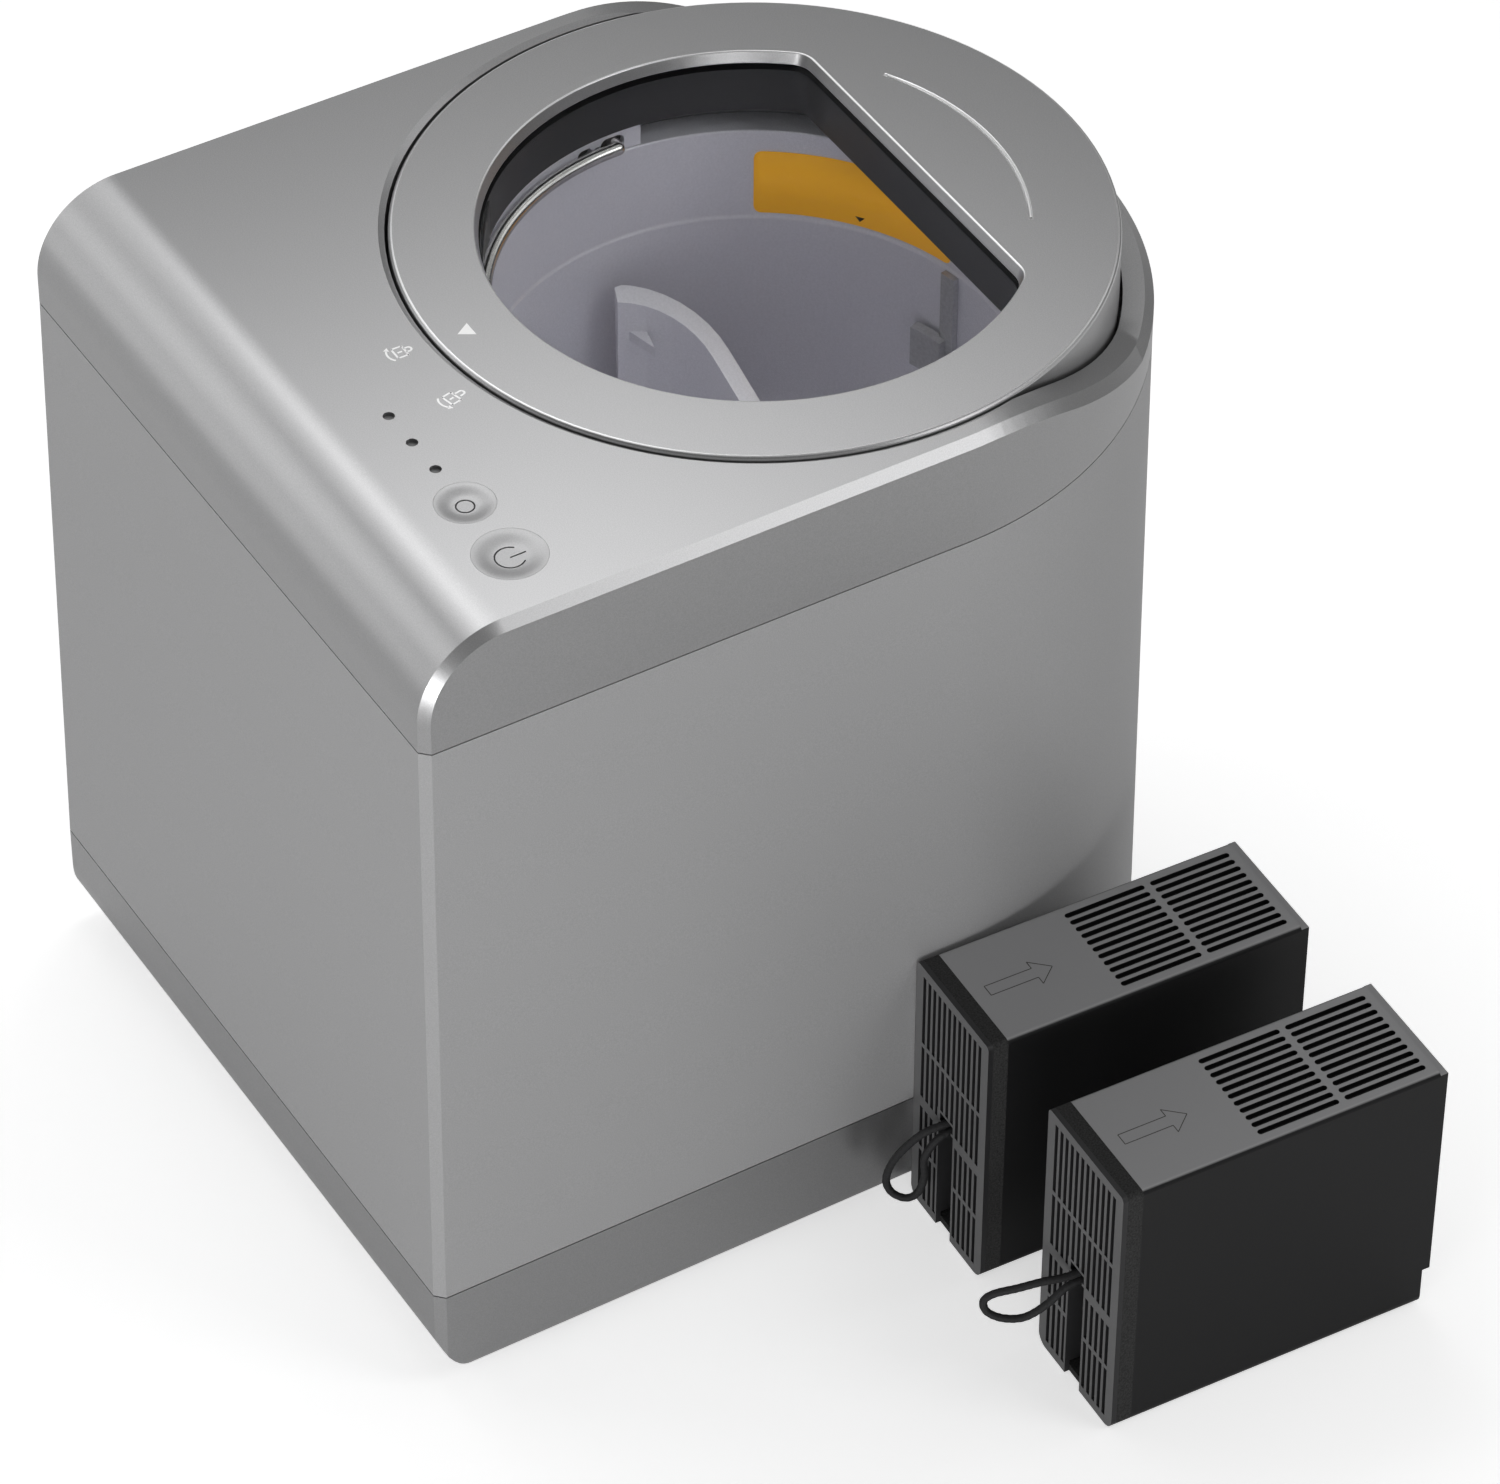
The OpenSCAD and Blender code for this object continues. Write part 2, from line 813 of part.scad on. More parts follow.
module motor() {
    color("silver")
    translate([0, motor_y, 0])
        difference() {
            union() {
                translate([0, 0, plate_z - motor_h]) cylinder(r = motor_r, h = motor_h, $fn = arc_fn);
                translate([0, 0, plate_z - motor_h - plate_t])
                    cylinder(r = motor_r / 2, h = motor_h, $fn = round_fn);
            }
            translate([0, 0, plate_z - motor_h / 2])
                cylinder(r = motor_shaft_r + run_gap, h = motor_h, $fn = round_fn);
        }
}

module motor_pinion() {
    color("gold")
    translate([0, motor_y, 0]) {
        translate([0, 0, fast_z - over / 2])
            gear(pinion_teeth, fast_m, fast_t + over, 90 - 180 / pinion_teeth);
        translate([0, 0, plate_z - motor_h / 2 + motor_gap])
            cylinder(r = motor_shaft_r, h = fast_z - plate_z + motor_h / 2, $fn = round_fn);
    }
}

module compound_gear() {
    color("ivory")
    translate([0, -pair_slow, 0])
        difference() {
            union() {
                translate([0, 0, gear_z - over / 2]) gear(slow_teeth, gear_m, fast_z - gear_z + over, 0);
                translate([0, 0, fast_z]) gear(fast_teeth, fast_m, fast_t, 0);
            }
            translate([0, 0, gear_z - over]) cylinder(r = axle_r + run_gap, h = gear_cover_h, $fn = round_fn);
        }
}

module output_gear() {
    color("ivory")
    union() {
        translate([0, 0, gear_z]) gear(out_teeth, gear_m, gear_t, 0);
        translate([0, 0, plate_z]) cylinder(r = shaft_r, h = cup_floor_z - plate_z, $fn = round_fn);
        translate([0, 0, gear_cover_z + seat_gap])
            cylinder(r = 2 * shaft_r, h = gear_cover_h - gear_cover_t - 2 * seat_gap, $fn = round_fn);
    }
}

module drive_cup() {
    color("gold")
    difference() {
        translate([0, 0, cup_z]) cylinder(r = cup_r, h = cup_top_z - cup_z, $fn = round_fn);
        translate([0, 0, cup_floor_z]) cylinder(r = dog_r + dog_gap, h = cup_top_z, $fn = 6);
        translate([0, 0, cup_z - over]) cylinder(r = shaft_r + press_gap, h = cup_top_z, $fn = round_fn);
    }
}

// Fan and duct
module fan_housing() {
    color(coal)
    difference() {
        translate([fan_x, fan_y - fan_size / 2, fan_z - fan_size / 2]) cube([fan_t, fan_size, fan_size]);
        translate([fan_x + bay_wall, fan_y, fan_z])
            rotate([0, 90, 0]) cylinder(r = fan_r, h = fan_t, $fn = arc_fn);
        for (i = [0:3])
            translate([fan_x - over, fan_y, fan_z])
                rotate([90 * i + 45, 0, 0])
                    translate([0, -fan_hub_r / 2, fan_hub_r])
                        cube([bay_wall + 2 * over, fan_hub_r, fan_r - fan_hub_r - over]);
    }
}

module fan_impeller() {
    color("dimgray")
    translate([fan_x + bay_wall + seat_gap, fan_y, fan_z])
        rotate([0, 90, 0])
            union() {
                cylinder(r = fan_hub_r, h = fan_t - 2 * bay_wall, $fn = round_fn);
                intersection() {
                    cylinder(r = fan_r - fan_tip_gap, h = fan_t - 2 * bay_wall, $fn = arc_fn);
                    for (i = [0:fan_blades - 1])
                        rotate([0, 0, 360 * i / fan_blades])
                            translate([0, 0, fan_t / 2 - bay_wall])
                                rotate([blade_angle, 0, 0])
                                    translate([fan_hub_r - over, -blade_t / 2, -fan_t / 3])
                                        cube([fan_r, blade_t, 2 * fan_t / 3]);
                }
            }
}

module air_duct() {
    plenum_z = fan_z - fan_size / 2;
    color("dimgray")
    difference() {
        union() {
            translate([duct_x, duct_y, plenum_z]) cube([duct_w, duct_l, duct_top_z - plenum_z]);
            translate([duct_x, duct_y, plenum_z]) cube([fan_x - duct_x, fan_y - duct_y, fan_size]);
        }
        translate([duct_x + duct_t, duct_y + duct_t, plenum_z + duct_t])
            cube([duct_w - 2 * duct_t, duct_l - 2 * duct_t, case_top_z]);
        translate([duct_x + duct_t, duct_y + duct_t, plenum_z + duct_t])
            cube([fan_x - duct_x, fan_y - duct_y - 2 * duct_t, fan_size - 2 * duct_t]);
    }
}

// Boards, switch and inlet
module control_board() {
    color("darkgreen")
    union() {
        translate([board_x0, board_y0, board_z]) cube([board_x1 - board_x0, board_y1 - board_y0, board_t]);
        for (x = [reset_x, power_x])
            translate([x - switch_w / 2, controls_y - switch_w / 2, board_z + board_t])
                cube([switch_w, switch_w, switch_h]);
    }
}

module power_board() {
    color("darkgreen")
    translate([power_board_x, power_board_y, power_board_z])
        union() {
            cube([power_board_w, power_board_l, board_t]);
            translate([stand_inset, 2 * stand_inset, board_t]) cube(transformer);
            for (i = [0:2])
                translate([
                    power_board_w - 2 * capacitor_r, power_board_l - 3 * capacitor_r * (i + 1), board_t
                ])
                    cylinder(r = capacitor_r, h = capacitor_h, $fn = round_fn);
        }
}

module lid_switch() {
    color(coal)
    translate([-switch_box[0] / 2, -well_r - wall - switch_box[1] - seat_gap, collar_z])
        union() {
            cube(switch_box);
            translate([(switch_box[0] - switch_lever[0]) / 2, switch_lever[1], switch_box[2]])
                cube(switch_lever);
        }
}

module power_inlet() {
    inlet_y = half_w - inlet_flange / 2;
    color(coal)
    difference() {
        union() {
            translate([-inlet_w / 2, inlet_y - inlet_flange, inlet_z - inlet_h / 2])
                cube([inlet_w, inlet_flange, inlet_h]);
            translate([inlet_rim - inlet_w / 2, inlet_y - inlet_depth, inlet_z - inlet_h / 2 + inlet_rim])
                cube([inlet_w - 2 * inlet_rim, inlet_depth, inlet_h - 2 * inlet_rim]);
        }
        translate([
            2 * inlet_rim - inlet_w / 2, inlet_y - socket_depth, inlet_z - inlet_h / 2 + 2 * inlet_rim
        ])
            cube([inlet_w - 4 * inlet_rim, socket_depth + over, inlet_h - 4 * inlet_rim]);
    }
}

module inlet_pins() {
    inlet_y = half_w - inlet_flange / 2;
    color("silver")
    for (p = [[-1, 0], [0, 1], [1, 0]])
        translate([
            p[0] * pin_pitch - pin_w / 2, inlet_y - socket_depth,
            inlet_z - pin_h / 2 + (p[1] == 1 ? pin_drop : -pin_drop / 2)
        ])
            cube([pin_w, pin_l, pin_h]);
}

module light_pipes() {
    color("whitesmoke")
    for (x = light_x)
        translate([x, controls_y, board_z + board_t])
            cylinder(r = light_r, h = board_drop - board_t - light_recess, $fn = round_fn);
}

// Depth of a button's dish at radius x: flat in the middle, then easing up to the panel
function dish_at(x, r) =
    let (t = max(0, (x / r - dish_flat_share) / (1 - dish_flat_share))) dish * (1 + cos(180 * t)) / 2;

// Push button with a soft finger dish, a captive flange and a stem
module button(x, r) {
    flange_z = case_top_z - wall - button_flange_t - seat_gap;
    stem_z = board_z + board_t + switch_h + button_travel + seat_gap;
    translate([x, controls_y, 0])
        union() {
            rotate_extrude($fn = arc_fn)
                polygon(concat(
                    [[0, flange_z], [r, flange_z]],
                    [for (i = [dish_steps:-1:0])
                        let (x = r * i / dish_steps) [x, case_top_z - dish_at(x, r)]]
                ));
            translate([0, 0, flange_z]) cylinder(r = r + button_flange, h = button_flange_t, $fn = round_fn);
            translate([0, 0, stem_z]) cylinder(r = stem_r, h = flange_z + seat_gap - stem_z, $fn = round_fn);
        }
}

// The power mark: an open circle with a stroke through its gap
module power_button() {
    color("gainsboro")
    difference() {
        button(power_x, power_r);
        translate([power_x, controls_y, case_top_z - dish - mark_depth]) {
            sector(power_mark_r - mark_w, power_mark_r, wall, 90 + power_mark_gap / 2, 360 - power_mark_gap);
            translate([-mark_w / 2, 0, 0]) cube([mark_w, power_stroke, wall]);
        }
    }
}

module reset_button() {
    color("gainsboro")
    difference() {
        button(reset_x, reset_r);
        translate([reset_x, controls_y, case_top_z - dish - mark_depth])
            ring(reset_mark_r - mark_w, reset_mark_r, wall);
    }
}

// Lid
module lid_cap() {
    color(silver)
    union() {
        difference() {
            union() {
                translate([0, 0, lid_skirt_z])
                    cylinder(r = lid_r, h = lid_top_z - lid_cut - lid_skirt_z, $fn = arc_fn);
                translate([0, 0, lid_top_z - lid_cut])
                    cylinder(r1 = lid_r, r2 = lid_r - lid_cut, h = lid_cut, $fn = arc_fn);
            }
            translate([0, 0, lid_skirt_z - over])
                cylinder(r = lid_r - lid_skirt, h = lid_top_z - lid_plate - lid_skirt_z + over, $fn = arc_fn);
            translate([0, 0, lid_top_z - trim_depth])
                sector(trim_r - trim_w, trim_r, lid_plate, trim_angle, 180 - 2 * trim_angle);
            hull() {
                translate([0, 0, lid_top_z]) linear_extrude(height = over) window(window_r);
                translate([0, 0, lid_top_z - lid_plate - over])
                    linear_extrude(height = over) window(window_r - bevel_w);
            }
        }
        for (i = [0:lug_count - 1])
            translate([0, 0, lid_skirt_z + over])
                sector(lid_r - lid_skirt - lug_reach, lid_r - lid_skirt + over, lug_h,
                    360 * i / lug_count - lug_span / 2, lug_span);
    }
}

module lid_window() {
    color([0.8, 0.85, 0.9, 0.3])
    translate([0, 0, pane_z]) linear_extrude(height = pane_t) window(window_r + pane_lap);
}

module lid_frame() {
    color(coal)
    difference() {
        union() {
            translate([0, 0, frame_z]) cylinder(r = lid_r - lid_skirt - seat_gap, h = frame_t, $fn = arc_fn);
            translate([0, 0, frame_z])
                linear_extrude(height = pane_z - frame_z) window(window_r + frame_wall - bevel_w);
            translate([0, 0, pane_z - frame_lip])
                linear_extrude(height = frame_lip) window(window_r + frame_lip_w);
        }
        translate([0, 0, frame_z - over])
            linear_extrude(height = pane_z - frame_z + 2 * over) window(window_r - bevel_w);
    }
}

module lid_gasket() {
    gasket_h = frame_z - rim_z - seat_gap;
    color("gray")
    translate([0, 0, rim_z + seat_gap])
        rotate_extrude($fn = arc_fn)
            polygon([
                [gasket_r + gasket_lip, 0], [gasket_r + gasket_w - gasket_lip, 0],
                [gasket_r + gasket_w, gasket_lip], [gasket_r + gasket_w, gasket_h],
                [gasket_r, gasket_h], [gasket_r, gasket_lip]
            ]);
}

// Bucket
module bucket() {
    out_r = bucket_r + bucket_wall;
    floor_z = bucket_z + bucket_floor;
    color(lilac)
    difference() {
        rotate_extrude($fn = arc_fn)
            polygon(concat(
                [[bush_r + press_gap, bucket_z]],
                arc([out_r - bucket_round, bucket_z + bucket_round], bucket_round, 270, 360),
                [[out_r, rim_z - rim_t], [bucket_r + rim_w, rim_z - rim_t], [bucket_r + rim_w, rim_z],
                 [bucket_r + fill_step, rim_z], [bucket_r + fill_step, fill_line_z],
                 [bucket_r, fill_line_z - fill_step]],
                arc([bucket_r - bucket_round, floor_z + bucket_round], bucket_round, 0, -90),
                [[boss_r, floor_z], [boss_r, boss_top_z], [bush_r + press_gap, boss_top_z]]
            ));
    }
}

module bucket_bush() {
    color("peru")
    union() {
        translate([0, 0, bucket_z]) ring(shaft_r + run_gap, bush_r, boss_h);
        translate([0, 0, boss_top_z]) ring(shaft_r + run_gap, boss_r - over, bush_top_z - boss_top_z);
    }
}

// Curved cheeks on the rim, each with the slot that a hooked end of the wire swings in
module handle_ears() {
    color(lilac)
    for (s = [0, 1])
        mirror([s, 0, 0])
            difference() {
                translate([0, 0, rim_z])
                    sector(ear_r, ear_r + ear_t, ear_h, -ear_front_angle, ear_front_angle + ear_back_angle);
                translate([0, 0, bail_z])
                    rotate([90, 0, 90])
                        linear_extrude(height = case_w) {
                            translate([-ear_slot_reach, 0]) rounded_slot(ear_slot_l, ear_slot_h);
                            translate([-ear_hole_reach, 0]) rounded_slot(ear_hole_l, ear_hole_h);
                        }
            }
}

module bail_handle() {
    color("silver")
    translate([0, 0, bail_z])
        union() {
            rotate([0, 0, 180])
                rotate_extrude(angle = 180, $fn = arc_fn) translate([bail_r, 0]) circle(d = wire_d, $fn = 24);
            for (s = [0, 180])
                rotate([0, 0, s])
                    translate([bail_r, 0, 0]) {
                        sphere(d = wire_d, $fn = 24);
                        rotate([0, 90, 0]) cylinder(d = wire_d, h = pin_end - bail_r, $fn = 24);
                    }
        }
}

module fixed_cutter() {
    in_r = bucket_r - seat_gap / 2;
    color("silver")
    union() {
        translate([0, 0, cutter_rail_z])
            sector(in_r - cutter_depth, in_r, cutter_rail_h - over, cutter_rail_angle, cutter_rail_span);
        translate([0, 0, cutter_z])
            sector(in_r - cutter_reach, in_r - cutter_depth / 2, cutter_h,
                cutter_rail_angle + cutter_rail_span / 2, cutter_span);
    }
}

// Middle line of a paddle arm: straight off the hub, then hooked back along the wall
function arm_line(g) = concat(
    [[0, arm_y + g]],
    [for (i = [0:arm_steps])
        let (t = 90 + arm_hook_angle * i / arm_steps)
            [-arm_reach + (arm_hook_r + g) * cos(t), arm_y - arm_hook_r + (arm_hook_r + g) * sin(t)]]
);

module arm_plan() {
    inner = arm_line(-arm_t / 2);
    outer = arm_line(arm_t / 2);
    polygon(concat(outer, [for (i = [len(inner) - 1:-1:0]) inner[i]]));
}

module paddle() {
    reach = arm_reach + arm_hook_r;
    color(lilac)
    difference() {
        union() {
            translate([0, 0, hub_z]) cylinder(r = hub_r, h = hub_h, $fn = round_fn);
            intersection() {
                translate([0, 0, hub_z]) linear_extrude(height = arm_tip_z - hub_z) arm_plan();
                rotate([90, 0, 0])
                    linear_extrude(height = case_w, center = true)
                        polygon([
                            [over, hub_z], [over, arm_root_z], [-arm_reach / 2, arm_root_z + over],
                            [-arm_reach, arm_mid_z], [arm_hook_r / 2 - reach, (arm_mid_z + arm_tip_z) / 2],
                            [-reach, arm_tip_z], [-reach, arm_mid_z], [arm_heel - reach, hub_z]
                        ]);
            }
            rotate([0, 0, 180])
                intersection() {
                    translate([0, 0, hub_z]) linear_extrude(height = scraper_h) arm_plan();
                    rotate([90, 0, 0])
                        linear_extrude(height = case_w, center = true)
                            polygon([
                                [over, hub_z], [over, hub_z + scraper_h], [-arm_reach, hub_z + scraper_h / 2],
                                [arm_heel / 2 - reach, hub_z + scraper_h / 2], [arm_heel / 2 - reach, hub_z]
                            ]);
                }
            translate([arm_t - reach, arm_y - arm_hook_r / 2, tooth_z])
                linear_extrude(height = tooth_h)
                    polygon([[-arm_t / 2, -tooth_w / 2], [tooth_l, 0], [-arm_t / 2, tooth_w / 2]]);
        }
        translate([0, 0, hub_z - over])
            cylinder(r = boss_r + hub_gap, h = bush_top_z + hub_gap - hub_z + over, $fn = round_fn);
        translate([0, 0, hub_z]) cylinder(r = shaft_r + press_gap, h = shaft_top_z - hub_z, $fn = round_fn);
    }
}

module paddle_shaft() {
    color("silver")
    union() {
        translate([0, 0, dog_z]) cylinder(r = shaft_r, h = shaft_top_z - dog_z, $fn = round_fn);
        translate([0, 0, dog_z]) cylinder(r = dog_r, h = bucket_z - seat_gap - dog_z, $fn = 6);
    }
}

// Cartridge pieces, drawn about the middle of its footprint with the grille towards -Y
module cart_place(at) {
    translate([at[0], at[1], 0]) rotate([0, 0, cart_yaw]) children();
}

module cart_front(g) {
    w = cart_w / 2;
    foot = cart_foot_round;
    top = cart_top_round;
    polygon(concat(
        arc([w - foot, foot], foot - g, -90, 0),
        arc([w - top, cart_h - top], max(top - g, sliver), 0, 90),
        arc([top - w, cart_h - top], max(top - g, sliver), 90, 180),
        arc([foot - w, foot], foot - g, 180, 270)
    ));
}

// Extrudes a front view back from y0 over a length l
module cart_run(y0, l) {
    translate([0, y0 + l, 0]) rotate([90, 0, 0]) linear_extrude(height = l) children();
}

module cartridge_shell() {
    y0 = grille_t + band_l - cart_l / 2;
    pitch = (cart_w - 2 * slot_side - slot_w) / (cart_slots - 1);
    color([0.22, 0.22, 0.23])
    difference() {
        union() {
            cart_run(y0, cart_l / 2 - strip_t - y0) cart_front(0);
            cart_run(cart_l / 2 - strip_t, strip_t)
                translate([-cart_w / 2, strip_lift]) square([cart_w, cart_h - strip_lift - over]);
        }
        cart_run(y0 - over, cart_l / 2 - strip_t - cart_wall - y0 + over) cart_front(cart_wall);
        for (i = [0:cart_slots - 1], j = [0, 1])
            translate([
                slot_side + slot_w / 2 - cart_w / 2 + i * pitch,
                cart_l / 2 - strip_t - slot_edge - slot_l / 2 - j * (slot_l + slot_gap),
                cart_h - cart_wall - over
            ])
                rotate([0, 0, 90]) linear_extrude(height = cart_wall + 2 * over) rounded_slot(slot_l, slot_w);
    }
}

module cartridge_band() {
    color([0.09, 0.09, 0.09])
    difference() {
        cart_run(grille_t - cart_l / 2, band_l) cart_front(0);
        cart_run(grille_t - cart_l / 2 - over, band_l + 2 * over) cart_front(band_t);
    }
}

// Grille: columns of slots cut by three bars, and an open gutter that the pull cord comes out of
module cartridge_grille() {
    pitch = (cart_w - 2 * grille_frame) / grille_columns;
    slot = pitch * grille_slot_share;
    bar_z = cart_h * grille_bar_shares;
    low = [for (i = [0:3]) i == 0 ? grille_frame : bar_z[i - 1] + grille_bars[i - 1] / 2];
    high = [for (i = [0:3]) i == 3 ? cart_h - grille_frame : bar_z[i] - grille_bars[i] / 2];
    channel_top = cart_h * channel_share;
    notch_top = channel_top + notch_rise;
    color([0.17, 0.17, 0.18])
    union() {
        cart_run(-cart_l / 2, grille_t)
            difference() {
                cart_front(0);
                for (i = [0:grille_columns - 1], j = [0:3])
                    let (x = grille_frame - cart_w / 2 + (i + 0.5) * pitch)
                        if (abs(x - channel_x) > (channel_w + slot) / 2 || low[j] > channel_top)
                            translate([x - slot / 2, low[j]]) square([slot, high[j] - low[j]]);
                translate([channel_x - channel_w / 2, -over]) square([channel_w, channel_top + over]);
                translate([channel_x - notch_w / 2, channel_top - over]) square([notch_w, notch_rise + over]);
            }
        difference() {
            cart_run(-cart_l / 2, gutter_depth + gutter_t)
                translate([channel_x - channel_w / 2 - gutter_t, cart_foot_round])
                    square([channel_w + 2 * gutter_t, notch_top + gutter_t - cart_foot_round]);
            cart_run(-cart_l / 2 - over, gutter_depth + over)
                translate([channel_x - channel_w / 2, cart_foot_round - over])
                    square([channel_w, notch_top + over - cart_foot_round]);
        }
    }
}

module cartridge_carbon() {
    y0 = grille_t + band_l - cart_l / 2;
    color([0.05, 0.05, 0.05])
    cart_run(y0, cart_l / 2 - strip_t - cart_wall - carbon_gap - y0) cart_front(cart_wall + carbon_gap);
}

// Unit direction of a route at point i
function route_way(p, i) =
    let (a = p[max(i - 1, 0)], b = p[min(i + 1, len(p) - 1)], d = b - a) d / norm(d);

// Ring of points round a route at point i, square to it
function route_ring(p, i) =
    let (
        w = i == 0 || i == len(p) - 1 ? [0, i == 0 ? -1 : 1, 0] : route_way(p, i),
        u = cross(w, [1, 0, 0]) / norm(cross(w, [1, 0, 0])),
        v = cross(w, u)
    )
    [for (k = [0:cord_sides - 1])
        let (t = 360 * k / cord_sides) p[i] + (u * cos(t) + v * sin(t)) * cord_d / 2];

module cord(p) {
    n = len(p);
    polyhedron(
        points = [for (i = [0:n - 1]) each route_ring(p, i)],
        faces = concat(
            [[for (k = [0:cord_sides - 1]) k]],
            [for (i = [0:n - 2], k = [0:cord_sides - 1])
                let (a = i * cord_sides, m = (k + 1) % cord_sides) each [
                    [a + k, a + cord_sides + k, a + m],
                    [a + m, a + cord_sides + k, a + cord_sides + m]
                ]],
            [[for (k = [cord_sides - 1:-1:0]) (n - 1) * cord_sides + k]]
        )
    );
}

module cartridge_shell_a() { cart_place(cart_a) cartridge_shell(); }
module cartridge_grille_a() { cart_place(cart_a) cartridge_grille(); }
module cartridge_band_a() { cart_place(cart_a) cartridge_band(); }
module cartridge_carbon_a() { cart_place(cart_a) cartridge_carbon(); }
module cartridge_loop_a() { color("black") cart_place(cart_a) cord(loop_a); }
module cartridge_shell_b() { cart_place(cart_b) cartridge_shell(); }
module cartridge_grille_b() { cart_place(cart_b) cartridge_grille(); }
module cartridge_band_b() { cart_place(cart_b) cartridge_band(); }
module cartridge_carbon_b() { cart_place(cart_b) cartridge_carbon(); }
module cartridge_loop_b() { color("black") cart_place(cart_b) cord(loop_b); }

top_cover();
body_shell();
base_pan();
rubber_feet();
lid_collar();
well_liner();
heater_plate();
filter_bay();
filter_cover();
gear_plate();
gear_posts();
gear_axle();
gear_cover();
motor();
motor_pinion();
compound_gear();
output_gear();
drive_cup();
fan_housing();
fan_impeller();
air_duct();
control_board();
power_board();
lid_switch();
power_inlet();
inlet_pins();
light_pipes();
power_button();
reset_button();
lid_cap();
lid_window();
lid_frame();
lid_gasket();
bucket();
bucket_bush();
handle_ears();
bail_handle();
fixed_cutter();
paddle();
paddle_shaft();
cartridge_shell_a();
cartridge_grille_a();
cartridge_band_a();
cartridge_carbon_a();
cartridge_loop_a();
cartridge_shell_b();
cartridge_grille_b();
cartridge_band_b();
cartridge_carbon_b();
cartridge_loop_b();
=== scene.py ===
import math

import bmesh
import bpy
from mathutils import Matrix, Vector


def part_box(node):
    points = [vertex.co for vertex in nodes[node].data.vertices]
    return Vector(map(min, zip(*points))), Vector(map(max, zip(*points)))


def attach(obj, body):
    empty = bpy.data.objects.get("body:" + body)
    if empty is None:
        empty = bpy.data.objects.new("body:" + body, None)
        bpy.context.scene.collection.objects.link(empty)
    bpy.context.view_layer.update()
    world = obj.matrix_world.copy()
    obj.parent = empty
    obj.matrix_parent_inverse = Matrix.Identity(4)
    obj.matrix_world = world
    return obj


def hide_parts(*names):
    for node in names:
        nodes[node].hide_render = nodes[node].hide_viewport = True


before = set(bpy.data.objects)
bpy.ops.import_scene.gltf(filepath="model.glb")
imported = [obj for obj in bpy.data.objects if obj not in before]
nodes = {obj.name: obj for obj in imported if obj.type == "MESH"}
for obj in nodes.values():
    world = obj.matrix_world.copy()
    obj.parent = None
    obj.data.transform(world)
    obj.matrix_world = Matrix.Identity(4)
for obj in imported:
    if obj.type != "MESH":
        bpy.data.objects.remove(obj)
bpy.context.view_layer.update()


# Camera. A long lens looks down over the front right corner of the machine, with its aim a little
# rolled, so that the two cartridges stand in front of the round back.
CAMERA_AT = (1.67279, -1.01947, 1.89282)
CAMERA_TURN = math.radians(58.657)
CAMERA_TILT = math.radians(42.454)
CAMERA_ROLL = math.radians(0.361)
LENS_MM = 175.15
SENSOR_MM = 36
SIGHT_M = 50
camera_back = Vector(
    (
        math.sin(CAMERA_TURN) * math.cos(CAMERA_TILT),
        -math.cos(CAMERA_TURN) * math.cos(CAMERA_TILT),
        math.sin(CAMERA_TILT),
    )
)
level_right = Vector((math.cos(CAMERA_TURN), math.sin(CAMERA_TURN), 0))
level_up = camera_back.cross(level_right)
camera_right = math.cos(CAMERA_ROLL) * level_right + math.sin(CAMERA_ROLL) * level_up
camera_up = math.cos(CAMERA_ROLL) * level_up - math.sin(CAMERA_ROLL) * level_right
aim = Matrix((camera_right, camera_up, camera_back)).transposed()
camera_data = bpy.data.cameras.new("camera")
camera_data.sensor_width = SENSOR_MM
camera_data.lens = LENS_MM
camera_data.clip_end = SIGHT_M
camera = bpy.data.objects.new("camera", camera_data)
bpy.context.scene.collection.objects.link(camera)
camera.matrix_world = Matrix.Translation(CAMERA_AT) @ aim.to_4x4()
bpy.context.scene.camera = camera


# Pull loops of the filter cartridges. Each is a short braided cord whose two ends are knotted
# behind the grille, so it comes out of the gutter and goes back into it.
MM = 0.001
CORD_R = 1.5 * MM
CORD_SIDES = 24
CORD_STEP = 0.45 * MM
BRAID_PITCH = 2.6 * MM
BRAID_STRANDS = 6
BRAID_DEPTH = 0.05
CARTRIDGE_YAW = math.radians(-2.5)
GRANULES_BACK = 1.0
LOOPS = {
    "a": [
        (-3, -58.5, 54), (-3, -66, 54), (-5, -73, 51), (-8, -79, 43), (-11, -82, 34), (-12, -83, 26),
        (-11, -81, 20), (-8, -77, 18), (-5, -74, 22), (-4, -72, 30), (-4, -72, 40), (-3, -67, 48),
        (-3, -58.5, 50),
    ],
    "b": [
        (-3, -58.5, 54), (-3, -68, 54), (-5, -77, 54), (-8, -85, 52), (-12, -92, 49), (-14, -95, 45),
        (-13, -94, 40), (-10, -89, 37), (-7, -82, 37), (-4, -75, 43), (-3, -68, 49), (-3, -58.5, 50),
    ],
}


def box_mm(name):
    """Lowest and highest corner of a solid, in millimetres."""
    return [[round(v / MM, 2) for v in corner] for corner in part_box(name)]


def middle(name):
    """Middle of a solid seen from above, in millimetres."""
    low, high = box_mm(name)
    return (low[0] + high[0]) / 2, (low[1] + high[1]) / 2


def cartridge_foot(letter):
    """Middle of a cartridge's foot, a little in front of the middle of its granules."""
    x, y = middle(f"cartridge_carbon_{letter}")
    x += GRANULES_BACK * math.sin(CARTRIDGE_YAW)
    y -= GRANULES_BACK * math.cos(CARTRIDGE_YAW)
    return round(x, 1), round(y, 1)


def on_cartridge(letter, p):
    """A point of a cartridge, in millimetres from the middle of its foot, in the machine's frame."""
    cx, cy = cartridge_foot(letter)
    c, s = math.cos(CARTRIDGE_YAW), math.sin(CARTRIDGE_YAW)
    return Vector((cx + c * p[0] - s * p[1], cy + s * p[0] + c * p[1], p[2])) * MM


